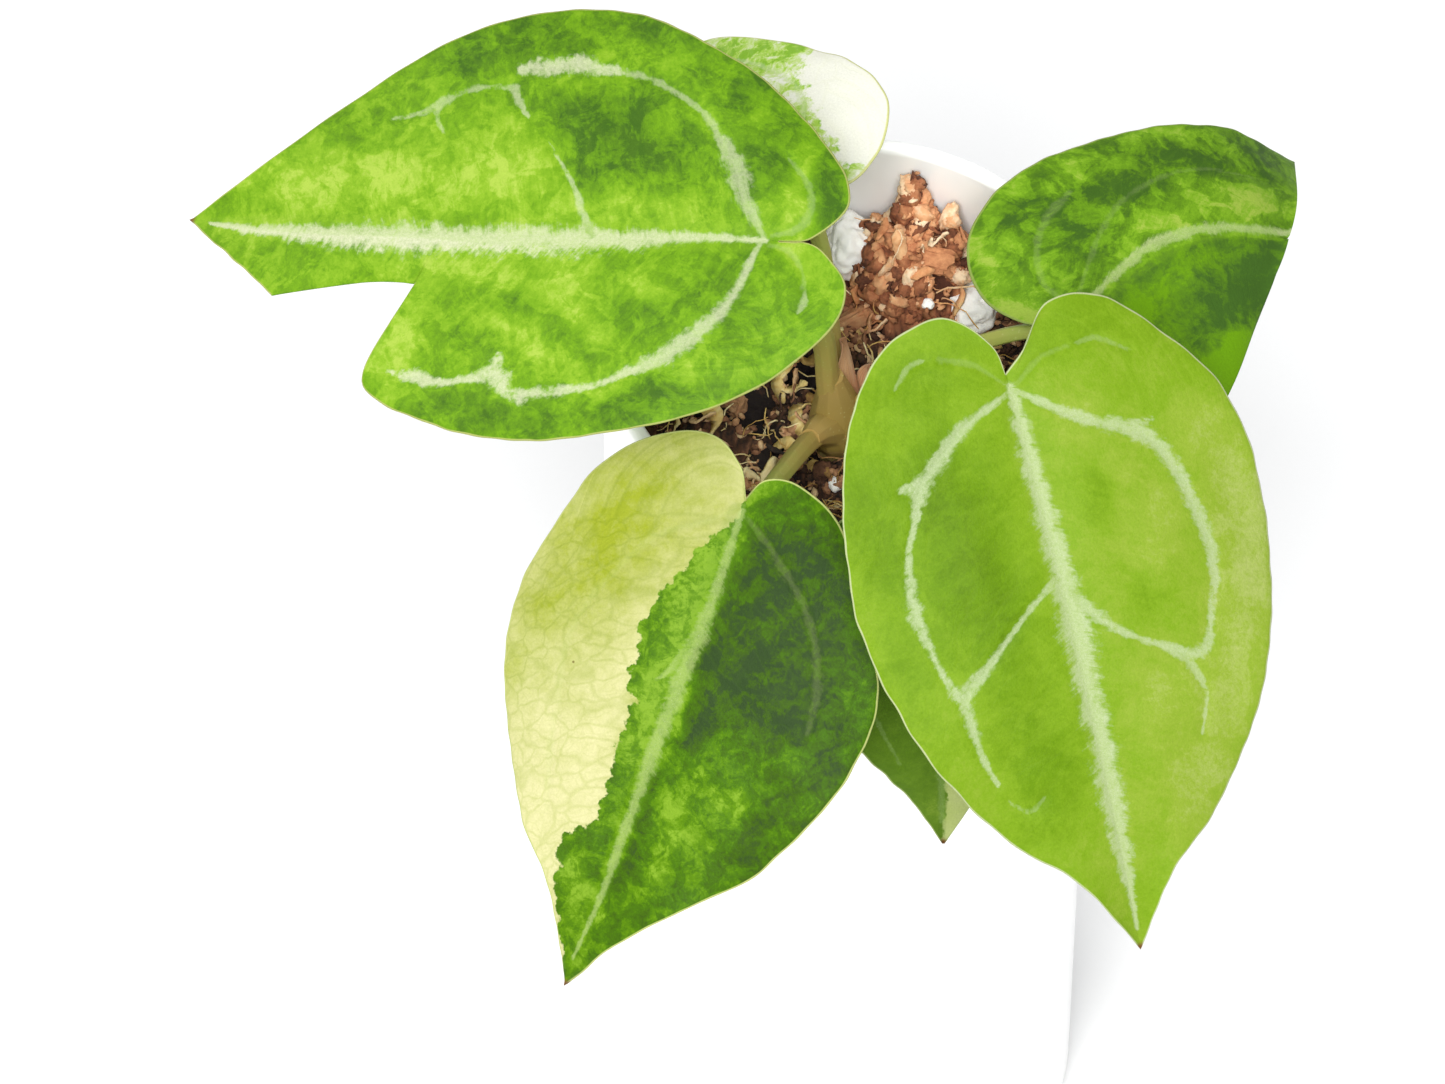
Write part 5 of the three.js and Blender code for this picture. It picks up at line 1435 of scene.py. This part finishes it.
# %% Lay the medium
LITTER_INPUTS = ("Per Square Metre", "Seed", "Smallest", "Largest", "Tilt", "Reach", "Lift", "More On Heap")
LITTER_KINDS = {
    "bark_pieces": (
        bark_shape, 3, [(9, 6, 4.5), (11, 5, 3.5), (7, 6, 5), (10, 4.5, 4)], {},
        BARK, (7000.0, 5, 0.55, 1.1, 0.7, 0.039, 0.0002, -1.0)),
    "fibre_tufts": (
        bark_shape, 13, [(5, 3.4, 3), (4, 3.8, 3), (5.6, 3, 2.8), (3.6, 3.2, 3.2)], dict(tuft=True),
        BARK, (14000.0, 8, 0.6, 1.2, 1.5, 0.041, 0.0004, 11.0)),
    "bark_crumbs": (
        bark_shape, 23, [(3.4, 2.2, 1.8), (2.6, 2.4, 1.6), (4, 1.7, 1.4), (2.2, 1.8, 1.5)],
        dict(levels=1, tuft=True), BARK, (110000.0, 11, 0.4, 1.1, 1.5, 0.0442, 0.0009, -0.6)),
    "fibre_shreds": (
        strip_shape, 30, [(6, 1.7, 0.4), (5, 1.4, 0.4), (7, 1.3, 0.35), (4, 2.0, 0.45)], dict(curl=0.62),
        BARK, (80000.0, 14, 0.6, 1.15, 1.4, 0.04, 0.0012, -0.3)),
    "fibre_strips": (
        strip_shape, 40, [(12, 3.0, 0.5), (9, 2.4, 0.45), (13, 1.8, 0.4), (7, 3.2, 0.5)], dict(curl=0.42),
        FIBRE, (14000.0, 17, 0.5, 1.1, 0.9, 0.037, 0.0022, -0.85)),
    "fibre_hairs": (
        strip_shape, 60, [(length, 0.28, 0.22) for length in (9, 12, 7, 10)], {},
        FIBRE, (50000.0, 29, 0.5, 1.1, 0.9, 0.038, 0.0026, -0.4)),
}
CURLS = [
    (4.0, [(-31.5, 6, 235), (-29.5, 2.5, 238.5), (-27.5, -1, 238), (-29, -4, 235)]),
    (3.6, [(-11.5, 15, 236), (-13, 11.5, 239.5), (-15, 8, 239), (-14, 5, 235)]),
    (3.0, [(-10, 4, 236), (-11.5, 0.5, 238.5), (-10.6, -4, 239), (-8.2, -6, 236)]),
    (2.6, [(-34, 9, 234), (-30.5, 8.6, 238), (-26.5, 10, 235)]),
    (2.6, [(-16, -6, 235), (-13, -7, 238), (-10, -9.5, 235)]),
]
CURL_THICK = 0.5
CURL_TWIST = 1.2

bed = make_bed()
random = np.random.default_rng(3)
painted_pit_shade = np.zeros(len(bed.vertices))
bed.attributes["hollow"].data.foreach_get("value", painted_pit_shade)
painted_pit_shade = np.clip(painted_pit_shade, 0, 1)
# In pits and pockets the bed's tone goes to the near-black end of the bark colours: painted shade.
store(bed, "shade", random.uniform(0.0, 0.4, len(painted_pit_shade)) * (1 - painted_pit_shade) - 0.3 * painted_pit_shade)

for name, (make, first_seed, sizes, options, material, numbers) in LITTER_KINDS.items():
    store_room = bpy.data.collections.new(f"{name} shapes")
    scene.collection.children.link(store_room)
    for number, size in enumerate(sizes):
        shape = bpy.data.objects.new(f"{name} shape {number}", make(first_seed + number, size, **options))
        store_room.objects.link(shape)
    values = {"Shapes": store_room, "Material": material, **dict(zip(LITTER_INPUTS, numbers))}
    add_piece(name, grown(litter, bed, values), None, "growing_medium")
    for shape in list(store_room.objects):
        bpy.data.objects.remove(shape)
    bpy.data.collections.remove(store_room)

for number, (width, stops) in enumerate(CURLS, 1):
    centres = [Vector(at) for at in evenly(smooth_line(stops, 20, tight=True), 24)]
    mesh = strip_along(centres, width, CURL_THICK, CURL_TWIST, random)
    store(mesh, "shade", random.uniform(0.45, 0.8, len(mesh.vertices)))
    add_piece(f"fibre_curl_{number}", mesh, FIBRE, "growing_medium")
add_piece("medium_bed", bed, BARK, "growing_medium")

# %% [markdown]
# ## Perlite
# A few white lumps lie in the medium. Perlite is puffed volcanic glass, full of bubbles, so each lump is a
# ball with cells pushed into it, which catch small shadows that a smooth ball would not have.

# %% Perlite lumps
PERLITE = [(0.5, 38, 243.5, 7), (25, 28, 237, 6), (15.4, 24, 242.8, 1.3), (-3.2, -15.5, 236, 1.8)]
CELLS_ACROSS = 2.6
CELL_DEPTH = 0.14
LARGEST_SWELL = 1.14
FLATNESS = 0.8

chalk, tree, surface = new_material("perlite", roughness=0.95)
place = object_place(tree)
dust = plus(noise_at(place, 500, detail=4, roughness=0.7), 0.5, clamp=True)
fill(surface["Base Color"], colour_ramp(dust, (0.2, 0.45, 0.8), "f6f3ea fefdf9 ffffff"))
bump(surface, noise_at(place, 2200, detail=4, roughness=0.6), distance=0.15, strength=0.6)

for number, (x, y, z, radius) in enumerate(PERLITE, 1):
    def moved_point(p):
        """A point of this lump, swollen or pushed in."""
        cell = noise.voronoi(p * CELLS_ACROSS + Vector((number * 5, 0, 0)))[0][0]
        lumps = noise.fractal(p * 1.1 + Vector((number * 9, 0, 0)), 0.9, 2, 3)
        size = radius * min(0.95 + 0.26 * lumps - CELL_DEPTH * max(0, 0.45 - cell), LARGEST_SWELL)
        return Vector((x + p.x * size, y + p.y * size, z + p.z * size * FLATNESS))

    lump = shaped_ball(f"perlite_lump_{number}", 5 if radius > 3 else 4, moved_point, True)
    add_piece(f"perlite_lump_{number}", lump, chalk, f"perlite_{number}")

# %% [markdown]
# ## Pot
# The pot is a tall straight cylinder of white glazed earthenware. A potter or a mould would turn it from one
# profile, so its mesh is one profile turned round the upright axis: a foot with a shallow recess, the wall,
# a round lip, and the inside down to the floor. Only the ring that it stands on is bare clay.

# %% Pot profile and finish
POT_RADIUS = 50
POT_HEIGHT = 265
POT_WALL = 3.4
POT_FLOOR = 5
FLOOR_ROUND = 3
FOOT_ROUND = 4
RECESS_DEPTH = 0.9
RECESS_RADIUS = 38.5
WALL_TOP = POT_HEIGHT - 12
GLAZE_START = 0.0008
GLAZE_END = 0.0003
GLAZE_ROUGHNESS = 0.28
CLAY_ROUGHNESS = 0.85
BARE_CLAY = "e6dfd2"
TURNS = 168


def arc(x, z, radius, start, end, steps):
    """Points on part of a circle, angles in degrees."""
    angles = np.radians(np.linspace(start, end, steps + 1))
    return [(x + radius * math.cos(a), z + radius * math.sin(a)) for a in angles]


lip = POT_WALL / 2
inner = POT_RADIUS - POT_WALL
profile = [
    (RECESS_RADIUS, RECESS_DEPTH),
    *arc(RECESS_RADIUS + RECESS_DEPTH, RECESS_DEPTH, RECESS_DEPTH, 180, 270, 4),
    *arc(POT_RADIUS - FOOT_ROUND, FOOT_ROUND, FOOT_ROUND, -90, 0, 10),
    *[(POT_RADIUS, z) for z in np.linspace(20, WALL_TOP, 24)],
    *arc(POT_RADIUS - lip, POT_HEIGHT - lip, lip, 0, 180, 14),
    *[(inner, z) for z in np.linspace(WALL_TOP, 24, 20)],
    *arc(inner - FLOOR_ROUND, POT_FLOOR + FLOOR_ROUND, FLOOR_ROUND, 0, -90, 5),
]
turns = np.linspace(0, 2 * np.pi, TURNS, endpoint=False)
ring = np.stack([np.cos(turns), np.sin(turns)], 1)
points = [np.column_stack([ring * radius, np.full(TURNS, z)]) for radius, z in profile]
points = np.vstack([*points, [(0, 0, RECESS_DEPTH), (0, 0, POT_FLOOR)]])
faces = ring_faces(len(profile), TURNS, len(points) - 1, len(points) - 2)
pot_mesh = build_mesh("pot_glazed", points, faces[:, ::-1])

glaze, tree, surface = new_material("white glaze", GLAZE_ROUGHNESS, Coat_Weight=0.25)
place = object_place(tree)
skin = blend(plus(noise_at(place, 22, detail=3), 0.5, clamp=True), colour("fafaf9"), colour("fcfcfb"))
height_up = node(tree, "ShaderNodeSeparateXYZ", {0: place}).outputs["Z"]
fill(surface["Base Color"], coat(skin, between(height_up, GLAZE_START, GLAZE_END), BARE_CLAY))
fill(surface["Roughness"], between(height_up, GLAZE_START, GLAZE_END, GLAZE_ROUGHNESS, CLAY_ROUGHNESS))
bump(surface, noise_at(place, 140, detail=2), distance=0.12, strength=0.15)
add_piece("pot_glazed", pot_mesh, glaze, "pot")
